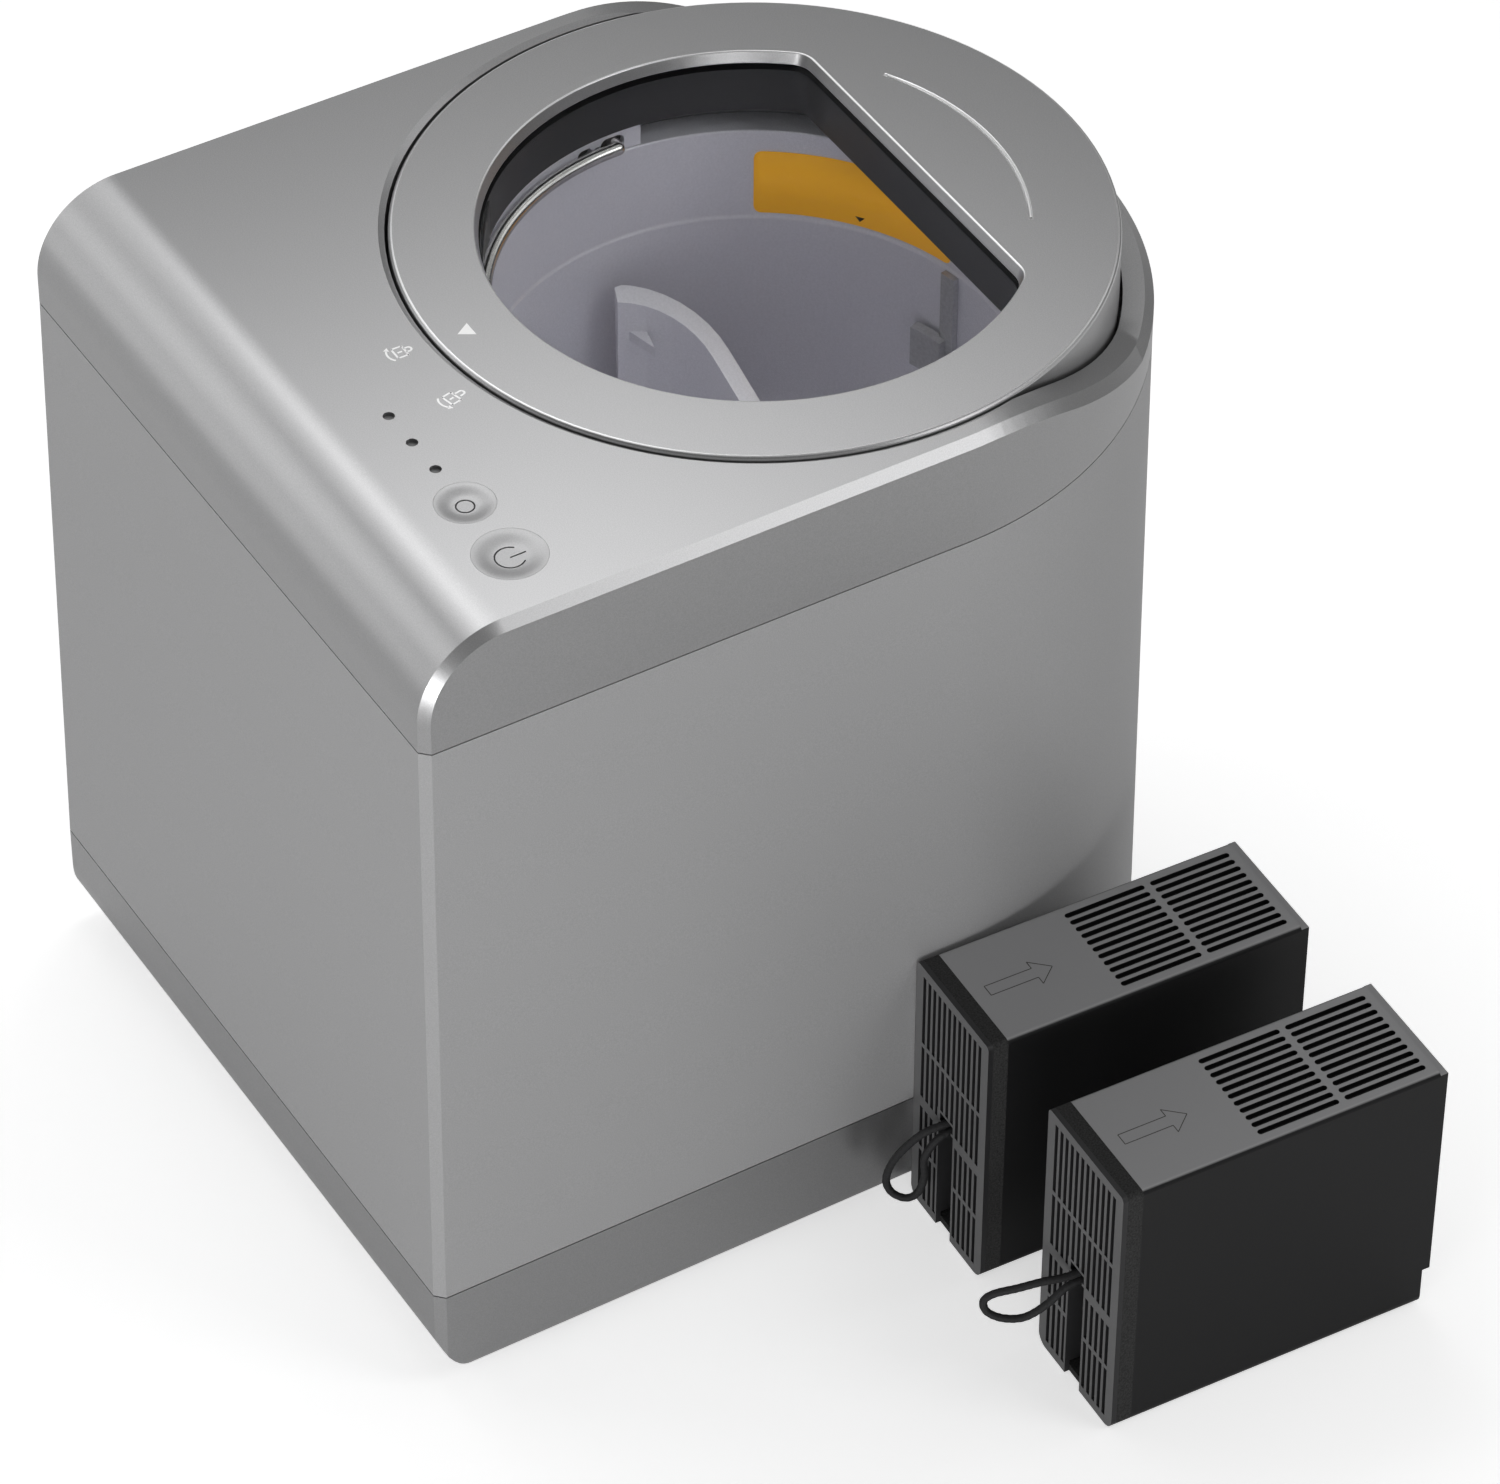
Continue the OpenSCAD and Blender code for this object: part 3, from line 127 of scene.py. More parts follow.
def new_mesh(name, verts, faces, material, smooth=True):
    """A piece of its own from points and faces, with its faces turned outwards."""
    mesh = bpy.data.meshes.new(name)
    mesh.from_pydata([tuple(v) for v in verts], [], faces)
    mesh.validate()
    work = bmesh.new()
    work.from_mesh(mesh)
    bmesh.ops.recalc_face_normals(work, faces=work.faces)
    work.to_mesh(mesh)
    work.free()
    for polygon in mesh.polygons:
        polygon.use_smooth = smooth
    mesh.materials.append(material)
    piece = bpy.data.objects.new(name, mesh)
    bpy.context.scene.collection.objects.link(piece)
    return piece


def curve_through(points, step):
    """A smooth line through the points, cut into about equal steps."""
    ends = [2 * points[0] - points[1]] + points + [2 * points[-1] - points[-2]]
    line = []
    for a, b, c, d in zip(ends, ends[1:], ends[2:], ends[3:]):
        bend, pull = 2 * a - 5 * b + 4 * c - d, 3 * b - 3 * c + d - a
        count = max(2, round((c - b).length / step))
        for i in range(count):
            t = i / count
            line.append(0.5 * (2 * b + (c - a) * t + bend * t * t + pull * t**3))
    return line + [points[-1]]


def braided_tube(line):
    """Rings round a line that pinch in where the strands cross: their points, their faces, the length."""
    verts, faces, run = [], [], 0.0
    side = Vector((1, 0, 0))
    for i, point in enumerate(line):
        way = (line[min(i + 1, len(line) - 1)] - line[max(i - 1, 0)]).normalized()
        side = (side - way * side.dot(way)).normalized()
        over = way.cross(side)
        run += (point - line[i - 1]).length if i else 0
        twist = math.pi * run / BRAID_PITCH
        for k in range(CORD_SIDES):
            turn = math.tau * k / CORD_SIDES
            weave = math.sin(BRAID_STRANDS / 2 * turn + twist) * math.sin(BRAID_STRANDS / 2 * turn - twist)
            reach = CORD_R * (1 - BRAID_DEPTH + BRAID_DEPTH * weave)
            verts.append(point + (side * math.cos(turn) + over * math.sin(turn)) * reach)
        low, high = (i - 1) * CORD_SIDES, i * CORD_SIDES
        for k in range(CORD_SIDES if i else 0):
            m = (k + 1) % CORD_SIDES
            faces.append((low + k, low + m, high + m, high + k))
    faces += [tuple(range(CORD_SIDES)), tuple(range(len(verts) - CORD_SIDES, len(verts)))]
    return verts, faces, run


def textured(name, colour, rough, metal=0.0, grain=400.0, tone=0.06, relief=0.02, detail=3.0):
    """A finish whose colour, gloss and surface vary finely, as moulded, cast or painted pieces do."""
    material = bpy.data.materials.new(name)
    material.use_nodes = True
    tree = material.node_tree
    shader = tree.nodes["Principled BSDF"]
    place = tree.nodes.new("ShaderNodeTexCoord")
    noise = tree.nodes.new("ShaderNodeTexNoise")
    noise.inputs["Scale"].default_value = grain
    noise.inputs["Detail"].default_value = detail
    tree.links.new(place.outputs["Object"], noise.inputs["Vector"])
    shade = tree.nodes.new("ShaderNodeValToRGB")
    for stop, position, level in zip(shade.color_ramp.elements, (0.3, 0.7), (1 - tone, 1 + tone)):
        stop.position = position
        stop.color = [min(1, c * level) for c in colour] + [1]
    tree.links.new(noise.outputs["Fac"], shade.inputs["Fac"])
    tree.links.new(shade.outputs["Color"], shader.inputs["Base Color"])
    gloss = tree.nodes.new("ShaderNodeMapRange")
    gloss.inputs["To Min"].default_value = rough * 0.92
    gloss.inputs["To Max"].default_value = rough * 1.08
    tree.links.new(noise.outputs["Fac"], gloss.inputs["Value"])
    tree.links.new(gloss.outputs["Result"], shader.inputs["Roughness"])
    shader.inputs["Metallic"].default_value = metal
    bump = tree.nodes.new("ShaderNodeBump")
    bump.inputs["Strength"].default_value = relief
    bump.inputs["Distance"].default_value = 0.2 * MM
    tree.links.new(noise.outputs["Fac"], bump.inputs["Height"])
    tree.links.new(bump.outputs["Normal"], shader.inputs["Normal"])
    return material


braid = textured("braided_cord", (0.012, 0.012, 0.013), 0.75, grain=1800, tone=0.5, relief=0.3)
for letter, route in LOOPS.items():
    line = curve_through([on_cartridge(letter, p) for p in route], CORD_STEP)
    verts, faces, run = braided_tube(line)
    loop = new_mesh(f"pull_loop_{letter}", verts, faces, braid)
    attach(loop, f"cartridge_{letter}")
    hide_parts(f"cartridge_loop_{letter}")


# Casing and lid. They are moulded and then sprayed in a satin silver with a fine metal flake.
# The top cover, body and base meet at thin dark seams, and the lid drops into the cover's well.
# The small rounds on the lid's edges are painted paler than its faces, a painted highlight along the edges.
EVEN_UNDER = 32
WELD = 0.005 * MM
FLAKE = {"grain": 2600, "tone": 0.10, "relief": 0.015}
RIM_FLAKE = {"grain": 2600, "tone": 0.06, "relief": 0.01}


def dress(material, *names):
    """The one finish of each named solid."""
    for name in names:
        nodes[name].data.materials.clear()
        nodes[name].data.materials.append(material)


def even_shading(limit):
    """Surface group that shades turns gentler than the limit, in degrees, as one smooth skin."""
    group = bpy.data.node_groups.new(f"even_shading_{limit}", "GeometryNodeTree")
    group.interface.new_socket("Geometry", in_out="INPUT", socket_type="NodeSocketGeometry")
    group.interface.new_socket("Geometry", in_out="OUTPUT", socket_type="NodeSocketGeometry")
    entry = group.nodes.new("NodeGroupInput")
    weld = group.nodes.new("GeometryNodeMergeByDistance")
    weld.inputs["Distance"].default_value = WELD
    plain = group.nodes.new("GeometryNodeRemoveAttribute")
    plain.inputs["Name"].default_value = "custom_normal"
    faces = group.nodes.new("GeometryNodeSetShadeSmooth")
    edges = group.nodes.new("GeometryNodeSetShadeSmooth")
    edges.domain = "EDGE"
    bend = group.nodes.new("GeometryNodeInputMeshEdgeAngle")
    gentle = group.nodes.new("FunctionNodeCompare")
    gentle.operation = "LESS_THAN"
    gentle.inputs["B"].default_value = math.radians(limit)
    leave = group.nodes.new("NodeGroupOutput")
    group.links.new(bend.outputs["Unsigned Angle"], gentle.inputs["A"])
    group.links.new(gentle.outputs["Result"], edges.inputs["Shade Smooth"])
    for a, b in ((entry, weld), (weld, plain), (plain, faces), (faces, edges)):
        group.links.new(a.outputs[0], b.inputs["Geometry"])
    group.links.new(edges.outputs[0], leave.inputs[0])
    return group


skin = even_shading(EVEN_UNDER)


def soften(*names, width=0.0, segments=2, turn=40):
    """Even shading for moulded or cast pieces, with a small round on their edges if a width is given."""
    for name in names:
        piece = nodes[name]
        piece.modifiers.new("skin", "NODES").node_group = skin
        if width:
            rounding = piece.modifiers.new("rounding", "BEVEL")
            rounding.width = width * MM
            rounding.segments = segments
            rounding.limit_method = "ANGLE"
            rounding.angle_limit = math.radians(turn)
            rounding.use_clamp_overlap = True
            rounding.harden_normals = True
        weighted = piece.modifiers.new("weighted", "WEIGHTED_NORMAL")
        weighted.keep_sharp = True


silver = textured("satin_silver_paint", (0.45, 0.45, 0.455), 0.34, metal=0.88, **FLAKE)
body_silver = textured("body_silver_paint", (0.425, 0.425, 0.43), 0.50, metal=0.30, **FLAKE)
base_silver = textured("base_silver_paint", (0.43, 0.43, 0.435), 0.34, metal=0.88, **FLAKE)
rim_highlight = textured("rim_highlight_paint", (0.80, 0.80, 0.805), 0.30, metal=0.75, **RIM_FLAKE)
dress(silver, "top_cover", "filter_cover", "lid_cap")
dress(body_silver, "body_shell")
dress(base_silver, "base_pan")
soften("top_cover", "body_shell", "base_pan", "filter_cover")
soften("lid_cap", width=0.65)
# The paler paint on the lid's edge rounds is a painted highlight.
nodes["lid_cap"].data.materials.append(rim_highlight)
nodes["lid_cap"].modifiers["rounding"].material = 1


# Marks on the lid and the top panel. A pointer on the lid's ring, and a closed and an open padlock
# with arrows that show which way the lid turns, are printed in white. A white strip of the same
# look lies in the curved groove behind the window, a painted highlight along the groove.
PANEL_Z = box_mm("top_cover")[1][2]
LID_Z = box_mm("lid_cap")[1][2]
INK_T = 0.02
INK_LINE = 0.72
POINTER = [(-2.3, -111.7), (4.6, -111.8), (1.3, -117.3)]
SHUT_MARK_AT = (0.1, -138.7)
OPEN_MARK_AT = (30.05, -135.7)
OPEN_MARK_TURN = 13
# The white strip in the groove behind the window is a painted highlight.
HIGHLIGHT_R, HIGHLIGHT_FROM, HIGHLIGHT_TO = 94.35, 60.5, 119.5
HIGHLIGHT_W, HIGHLIGHT_T = 0.55, 0.58
HIGHLIGHT_Z = LID_Z - 0.6


def flat_shape(outlines, z, t=INK_T):
    """Flat printed outlines, each a list of points in millimetres, as thin plates on a face."""
    verts, faces = [], []
    for outline in outlines:
        n = len(outline)
        start = len(verts)
        verts += [Vector((x, y, z)) * MM for x, y in outline]
        verts += [Vector((x, y, z + t)) * MM for x, y in outline]
        faces.append(tuple(start + n + i for i in range(n)))
        faces.append(tuple(start + n - 1 - i for i in range(n)))
        for i in range(n):
            m = (i + 1) % n
            faces.append((start + i, start + m, start + n + m, start + n + i))
    return verts, faces


def stroke(points, width):
    """The outline of a line of even width through points, with mitred turns."""
    left, right = [], []
    for i, p in enumerate(points):
        a = points[max(i - 1, 0)]
        b = points[min(i + 1, len(points) - 1)]
        first = Vector((p[0] - a[0], p[1] - a[1])) if i else Vector((b[0] - p[0], b[1] - p[1]))
        last = Vector((b[0] - p[0], b[1] - p[1])) if i < len(points) - 1 else first
        way = (first.normalized() + last.normalized()).normalized()
        grow = 1 / max(0.5, way.dot(first.normalized()))
        side = Vector((-way.y, way.x)) * width / 2 * grow
        left.append((p[0] + side.x, p[1] + side.y))
        right.append((p[0] - side.x, p[1] - side.y))
    return left + right[::-1]


def arc_points(cx, cy, r, a, b, count):
    """Points on an arc round a middle, from one angle to another in degrees."""
    turns = [math.radians(a + (b - a) * i / count) for i in range(count + 1)]
    return [(cx + r * math.cos(turn), cy + r * math.sin(turn)) for turn in turns]


def padlock(cx, cy, turn, opened):
    """Outlines of a padlock, shut or opened, and of the curved arrow before it that the lid follows."""
    half_w, half_h, bow_r, bow_up = 2.6, 1.95, 1.05, 1.3
    keyhole_w, half_keyhole = 0.75, 0.85
    arrow_r, arrow_tip_r, arrow_in_r, arrow_out_r = 4.6, 5.0, 3.6, 5.6
    lift = 1.1 if opened else 0
    way = 1 if opened else -1
    corners = [(-half_w, -half_h), (half_w, -half_h), (half_w, half_h), (-half_w, half_h)]
    shapes = [stroke([corners[i], corners[(i + 1) % 4]], INK_LINE) for i in range(4)]
    shapes += [arc_points(x, y, INK_LINE / 2, 0, 360, 8)[:-1] for x, y in corners]
    bow = arc_points(0, half_h + bow_up + lift, bow_r, 180, 0, 12)
    shapes.append(stroke([(-bow_r, half_h), *bow, (bow_r, half_h + lift)], INK_LINE))
    shapes.append(stroke([(0, -half_keyhole), (0, half_keyhole)], keyhole_w))
    shapes.append(stroke(arc_points(0, 0, arrow_r, -90 - way * 44, -90 + way * 36, 14), INK_LINE))
    head = -90 + way * 34
    head_corners = ((arrow_in_r, head), (arrow_tip_r, head + way * 21), (arrow_out_r, head))
    shapes.append([arc_points(0, 0, r, a, a, 1)[0] for r, a in head_corners])
    c, s = math.cos(math.radians(turn)), math.sin(math.radians(turn))
    return [[(cx + x * c - y * s, cy + x * s + y * c) for x, y in shape] for shape in shapes]


ink_and_highlight = textured("white_ink_and_highlight", (0.95, 0.95, 0.95), 0.36, metal=0.6, grain=900, tone=0.02, relief=0.01)
padlock_lines = padlock(*SHUT_MARK_AT, 0, False) + padlock(*OPEN_MARK_AT, OPEN_MARK_TURN, True)
highlight_line = stroke(arc_points(0, 0, HIGHLIGHT_R, HIGHLIGHT_FROM, HIGHLIGHT_TO, 60), HIGHLIGHT_W)
for name, body, shape in (
    ("lid_pointer", "lid", flat_shape([POINTER], LID_Z)),
    ("padlock_marks", "casing", flat_shape(padlock_lines, PANEL_Z)),
    ("lid_groove_highlight", "lid", flat_shape([highlight_line], HIGHLIGHT_Z, HIGHLIGHT_T)),
):
    mark = new_mesh(name, *shape, ink_and_highlight, smooth=False)
    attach(mark, body)


# Controls. Two soft buttons are moulded in the same silver as the panel, each with an engraved mark
# whose groove holds a thin dark grey strip, painted shade of the groove, and three small smoked
# lights stand a little below the panel.
POWER_AT = tuple(round(v, 1) for v in middle("power_button"))
RESET_AT = tuple(round(v, 1) for v in middle("reset_button"))
GROOVE_Z = PANEL_Z - 2.1
GROOVE_LINE = 0.5
GROOVE_SHADE_T = 0.12
POWER_SIGN_R, POWER_SIGN_FROM, POWER_SIGN_TO = 5.1, 136, 404
POWER_SIGN_STEM = 5.8
RESET_SIGN_R = 3.1
button_paint = textured(
    "button_silver", (0.52, 0.52, 0.525), 0.50, metal=0.80, grain=2600, tone=0.08, relief=0.012
)
lens = textured("smoked_lens", (0.16, 0.16, 0.162), 0.25, grain=700, tone=0.1, relief=0.01)
groove_shade = textured("groove_shade", (0.045, 0.045, 0.047), 0.5, grain=900, tone=0.05, relief=0.01)
dress(button_paint, "power_button", "reset_button")
soften("power_button", "reset_button")
dress(lens, "light_pipes")
power_stem = [POWER_AT, (POWER_AT[0], POWER_AT[1] + POWER_SIGN_STEM)]
power_sign = [arc_points(*POWER_AT, POWER_SIGN_R, POWER_SIGN_FROM, POWER_SIGN_TO, 48), power_stem]
reset_sign = [arc_points(*RESET_AT, RESET_SIGN_R, 0, 360, 40)]
# Each mark is a thin dark strip at the bottom of its groove, painted shade of the groove.
for body, sign in (("power_button", power_sign), ("reset_button", reset_sign)):
    verts, faces = flat_shape([stroke(line, GROOVE_LINE) for line in sign], GROOVE_Z, GROOVE_SHADE_T)
    fill = new_mesh(f"{body}_mark", verts, faces, groove_shade, smooth=False)
    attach(fill, body)


# Lid window. A clear pane is held from below by a black moulded frame, whose deep tube shuts off
# the view of the well. The pane lets light through to the bucket with little loss.
pane = bpy.data.materials.new("clear_pane")
pane.use_nodes = True
pane_tree = pane.node_tree
glass = pane_tree.nodes["Principled BSDF"]
glass.inputs["Base Color"].default_value = (0.96, 0.97, 0.975, 1)
glass.inputs["Roughness"].default_value = 0.0
glass.inputs["IOR"].default_value = 1.15
glass.inputs["Transmission Weight"].default_value = 1
see_through = pane_tree.nodes.new("ShaderNodeBsdfTransparent")
see_through.inputs["Color"].default_value = (0.93, 0.94, 0.945, 1)
pane_rays = pane_tree.nodes.new("ShaderNodeLightPath")
choose = pane_tree.nodes.new("ShaderNodeMixShader")
pane_tree.links.new(pane_rays.outputs["Is Shadow Ray"], choose.inputs["Fac"])
pane_tree.links.new(glass.outputs["BSDF"], choose.inputs[1])
pane_tree.links.new(see_through.outputs["BSDF"], choose.inputs[2])
pane_tree.links.new(choose.outputs["Shader"], pane_tree.nodes["Material Output"].inputs["Surface"])
frame_black = textured("frame_black", (0.016, 0.016, 0.017), 0.42, grain=1500, tone=0.12, relief=0.02)
dress(pane, "lid_window")
dress(frame_black, "lid_frame")
soften("lid_frame", "lid_window")


# Seal and collar. A soft grey rubber seal under the frame presses on the bucket's rim, and a black
# moulded collar with the lid's switch beside it lines the mouth of the well.
seal_grey = textured("seal_rubber", (0.10, 0.10, 0.105), 0.6, grain=900, tone=0.1, relief=0.03)
collar_black = textured("collar_plastic", (0.02, 0.02, 0.021), 0.5, grain=1200, tone=0.12, relief=0.03)
dress(seal_grey, "lid_gasket")
dress(collar_black, "lid_collar", "lid_switch")


# Bucket. It is cast in aluminium with a lilac-grey coat that doesn't stick, a rolled rim and a fill
# step. Two cheeks carry the wire handle, a steel cutter is fixed to the wall, and a cast paddle
# turns on its own shaft in a brass bush.
coat = textured("lilac_coat", (0.76, 0.75, 0.80), 0.38, metal=0.3, grain=1300, tone=0.05, relief=0.03)
# The paddle's coat is a lighter copy of the bucket's coat: painted light that brightens the paddle.
paddle_lit_coat = textured("paddle_lit_coat", (0.80, 0.79, 0.83), 0.36, metal=0.3, grain=1300, tone=0.05, relief=0.03)
wire_steel = textured("wire_steel", (0.62, 0.61, 0.59), 0.22, metal=1.0, grain=500, tone=0.05, relief=0.02)
cutter_steel = textured("cutter_steel", (0.5, 0.5, 0.51), 0.35, metal=0.45, grain=800, tone=0.1, relief=0.05)
brass = textured("brass", (0.62, 0.46, 0.20), 0.3, metal=1.0, grain=700, tone=0.06, relief=0.02)
dress(coat, "bucket", "handle_ears")
dress(paddle_lit_coat, "paddle")
dress(wire_steel, "bail_handle", "paddle_shaft")
dress(cutter_steel, "fixed_cutter")
dress(brass, "bucket_bush", "drive_cup", "motor_pinion")
soften("bucket", width=0.6, segments=3, turn=35)
soften("handle_ears", width=0.4)
soften("paddle", width=0.9, segments=3)


# Fill label. A plain amber film is stuck to the back wall of the bucket, with rounded corners and
# one small arrow printed on it that points down to the fill step.
LABEL_R = 95.45
LABEL_T = 0.15
LABEL_TURN = (102, 149)
RIM_Z = box_mm("bucket")[1][2]
LABEL_Z = (RIM_Z - 36.5, RIM_Z - 9)
LABEL_CORNER = 3.0
LABEL_STEPS = 40
CORNER_STEPS = 8
CORNER_STEP_TURN = 0.25
ARROW_R = LABEL_R - 0.16
ARROW_T = 0.05
ARROW_TURN = 125.5
ARROW_HALF_TURN = 1.1
ARROW_Z = LABEL_Z[0] + 2
ARROW_H = 2.1
ARROW_BLUNT = 0.02


def wall_film(name, outline, r, thick, material):
    """A thin film on the inside of a round wall, from an outline in degrees and millimetres of height."""
    verts, faces = [], []
    for depth in (0, thick):
        for turn, z in outline:
            angle = math.radians(turn)
            verts.append(Vector(((r - depth) * math.cos(angle), (r - depth) * math.sin(angle), z)) * MM)
    n = len(outline)
    for base in (0, n):
        for i in range(n // 2 - 1):
            faces.append((base + i, base + i + 1, base + n - 2 - i, base + n - 1 - i))
    for i in range(n):
        m = (i + 1) % n
        faces.append((i, m, n + m, n + i))
    return new_mesh(name, verts, faces, material)


def label_edge(low, turn):
    """Height of the label's edge at an angle, rounded in at both ends."""
    reach = min(turn - LABEL_TURN[0], LABEL_TURN[1] - turn) * math.radians(1) * LABEL_R
    cut = LABEL_CORNER - math.sqrt(max(0, LABEL_CORNER**2 - (LABEL_CORNER - min(reach, LABEL_CORNER)) ** 2))
    return LABEL_Z[0] + cut if low else LABEL_Z[1] - cut


amber = textured("amber_film", (0.96, 0.45, 0.01), 0.45, grain=300, tone=0.03, relief=0.01)
amber_shader = amber.node_tree.nodes["Principled BSDF"]
# The film also glows faintly: painted light that brightens it in the dim bucket.
amber_shader.inputs["Emission Color"].default_value = (1.0, 0.47, 0.01, 1)
amber_shader.inputs["Emission Strength"].default_value = 0.17
black_ink_and_shade = textured("black_ink_and_shade", (0.03, 0.025, 0.02), 0.5, grain=900, tone=0.05, relief=0.01)
span = LABEL_TURN[1] - LABEL_TURN[0]
corner_turns = [k * CORNER_STEP_TURN for k in range(1, CORNER_STEPS)]
turns = sorted(
    [LABEL_TURN[0] + span * i / LABEL_STEPS for i in range(LABEL_STEPS + 1)]
    + [LABEL_TURN[0] + turn for turn in corner_turns]
    + [LABEL_TURN[1] - turn for turn in corner_turns]
)
outline = [(t, label_edge(True, t)) for t in turns] + [(t, label_edge(False, t)) for t in reversed(turns)]
label = wall_film("fill_label", outline, LABEL_R, LABEL_T, amber)
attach(label, "bucket")
arrow_outline = [
    (ARROW_TURN, ARROW_Z),
    (ARROW_TURN + ARROW_HALF_TURN, ARROW_Z + ARROW_H),
    (ARROW_TURN - ARROW_HALF_TURN, ARROW_Z + ARROW_H),
    (ARROW_TURN, ARROW_Z + ARROW_BLUNT),
]
arrow = wall_film("fill_arrow", arrow_outline, ARROW_R, ARROW_T, black_ink_and_shade)
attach(arrow, "bucket")


# Backs of the cheeks' holes. The holes that the wire handle hooks into are blind, and a dark film
# lies behind each pair of them, against the bucket's wall: painted shade for the shadow inside the holes.
ears_low, ears_high = box_mm("handle_ears")
EAR_SHADE_R = ears_high[0] + 0.3
EAR_SHADE_T = 0.1
EAR_SHADE_Z = (ears_low[2] + 0.5, ears_high[2] - 0.3)
EAR_SHADE_FROM = {0: -10, 180: 175}
EAR_SHADE_STEP = 1.5
for side, first in EAR_SHADE_FROM.items():
    turns = [first + EAR_SHADE_STEP * i for i in range(11)]
    outline = [(t, EAR_SHADE_Z[0]) for t in turns] + [(t, EAR_SHADE_Z[1]) for t in reversed(turns)]
    # Each film is painted shade.
    shade = wall_film(f"ear_shade_{side}", outline, EAR_SHADE_R, EAR_SHADE_T, black_ink_and_shade)
    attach(shade, "bucket")


# Tab of the window frame. A small glossy black tab with a slanted foot is moulded on the inside of
# the frame's tube, at the front left.
TAB_R = 93.95
TAB_T = 0.3
TAB_TOP = box_mm("lid_frame")[1][2] - 0.9
TAB_DROPS = {-133.5: 17.2, -128.5: 16.6, -124: 15.0}
tab_black = textured("tab_black", (0.006, 0.006, 0.006), 0.3, grain=900, tone=0.1, relief=0.01)
tab_foot = [(turn, TAB_TOP - drop) for turn, drop in TAB_DROPS.items()]
tab_head = [(turn, TAB_TOP) for turn in reversed(TAB_DROPS)]
tab = wall_film("lid_frame_tab", tab_foot + tab_head, TAB_R, TAB_T, tab_black)
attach(tab, "lid")


# Filter cartridges. Black moulded boxes of carbon granules with slots on top, a grille clipped in
# front and a strip of black foam round the front. The top and the grille's front are painted duller
# and paler than the walls, a painted sheen of the lamps. The arrow pressed into the top, which shows
# which way each goes in, is drawn as a black outline, painted shade of its grooves.
CARTRIDGE_TOP = box_mm("cartridge_shell_a")[1][2]
FLOW_ARROW = [(-2.5, -51), (-2.5, -32), (-6, -32), (0, -25), (6, -32), (2.5, -32), (2.5, -51)]
FLOW_LINE = 0.3
FLOW_T = 0.03


def painted_lit_face(material, way, colour, rough):
    """The face that looks one way is painted duller and paler than the others, a painted sheen of the lamps
    on it.
    """
    tree = material.node_tree
    shader = tree.nodes["Principled BSDF"]
    facing = tree.nodes.new("ShaderNodeNewGeometry")
    along = tree.nodes.new("ShaderNodeVectorMath")
    along.operation = "DOT_PRODUCT"
    along.inputs[1].default_value = way
    share = tree.nodes.new("ShaderNodeMapRange")
    share.inputs["From Min"].default_value = 0.75
    share.inputs["From Max"].default_value = 0.95
    tree.links.new(facing.outputs["Normal"], along.inputs[0])
    tree.links.new(along.outputs["Value"], share.inputs["Value"])
    for socket, kind, value, first, mixed in (
        ("Base Color", "RGBA", [*colour, 1], 6, 2),
        ("Roughness", "FLOAT", rough, 2, 0),
    ):
        walls = shader.inputs[socket].links[0].from_socket
        mix = tree.nodes.new("ShaderNodeMix")
        mix.data_type = kind
        tree.links.new(share.outputs["Result"], mix.inputs[0])
        tree.links.new(walls, mix.inputs[first])
        mix.inputs[first + 1].default_value = value
        tree.links.new(mix.outputs[mixed], shader.inputs[socket])


shell_black = textured("cartridge_black", (0.009, 0.009, 0.0095), 0.42, grain=1600, tone=0.15, relief=0.06)
grille_black = textured("grille_black", (0.016, 0.016, 0.017), 0.5, grain=1600, tone=0.12, relief=0.05)
foam = textured("black_foam", (0.02, 0.02, 0.02), 0.9, grain=1500, tone=0.8, relief=0.9, detail=6)
granules = textured("carbon_granules", (0.008, 0.008, 0.008), 0.8, grain=600, tone=0.6, relief=0.8)
# Painted sheen: the cartridge tops and the grille fronts are paler because of the way they face.
painted_lit_face(shell_black, (0, 0, 1), (0.32, 0.32, 0.325), 0.5)
painted_lit_face(grille_black, (0, -1, 0), (0.13, 0.13, 0.132), 0.45)
shell_black.node_tree.nodes["Principled BSDF"].inputs["Specular IOR Level"].default_value = 0.25
flow_lines = [stroke([a, b], FLOW_LINE) for a, b in zip(FLOW_ARROW, FLOW_ARROW[1:] + FLOW_ARROW[:1])]
for letter in LOOPS:
    dress(shell_black, f"cartridge_shell_{letter}")
    dress(grille_black, f"cartridge_grille_{letter}")
    dress(foam, f"cartridge_band_{letter}")
    dress(granules, f"cartridge_carbon_{letter}")
    soften(f"cartridge_shell_{letter}", width=0.5)
    soften(f"cartridge_grille_{letter}", width=0.35)
    soften(f"cartridge_band_{letter}")
    # The arrow's pressed-in outline is drawn as thin black strips on the top: painted shade of its grooves.
    verts, faces = flat_shape(flow_lines, CARTRIDGE_TOP, FLOW_T)
    place = Matrix.Translation(on_cartridge(letter, (0, 0, 0))) @ Matrix.Rotation(CARTRIDGE_YAW, 4, "Z")
    flow = new_mesh(f"flow_arrow_{letter}", [place @ v for v in verts], faces, black_ink_and_shade, smooth=False)
    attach(flow, f"cartridge_{letter}")


# Feet, filter lanes and fan. Soft black rubber feet carry the machine. Inside, the lanes and the
# air duct are moulded in grey, and the fan with its housing and the mains inlet in black.
rubber = textured("black_rubber", (0.02, 0.02, 0.02), 0.7, grain=700, tone=0.15, relief=0.05)
inner_grey = textured("inner_grey_plastic", (0.16, 0.16, 0.165), 0.55, grain=900, tone=0.08, relief=0.04)
fan_black = textured("fan_black", (0.025, 0.025, 0.026), 0.5, grain=900, tone=0.1, relief=0.03)
dress(rubber, "rubber_feet")
dress(inner_grey, "filter_bay", "air_duct")
dress(fan_black, "fan_housing", "fan_impeller", "power_inlet")


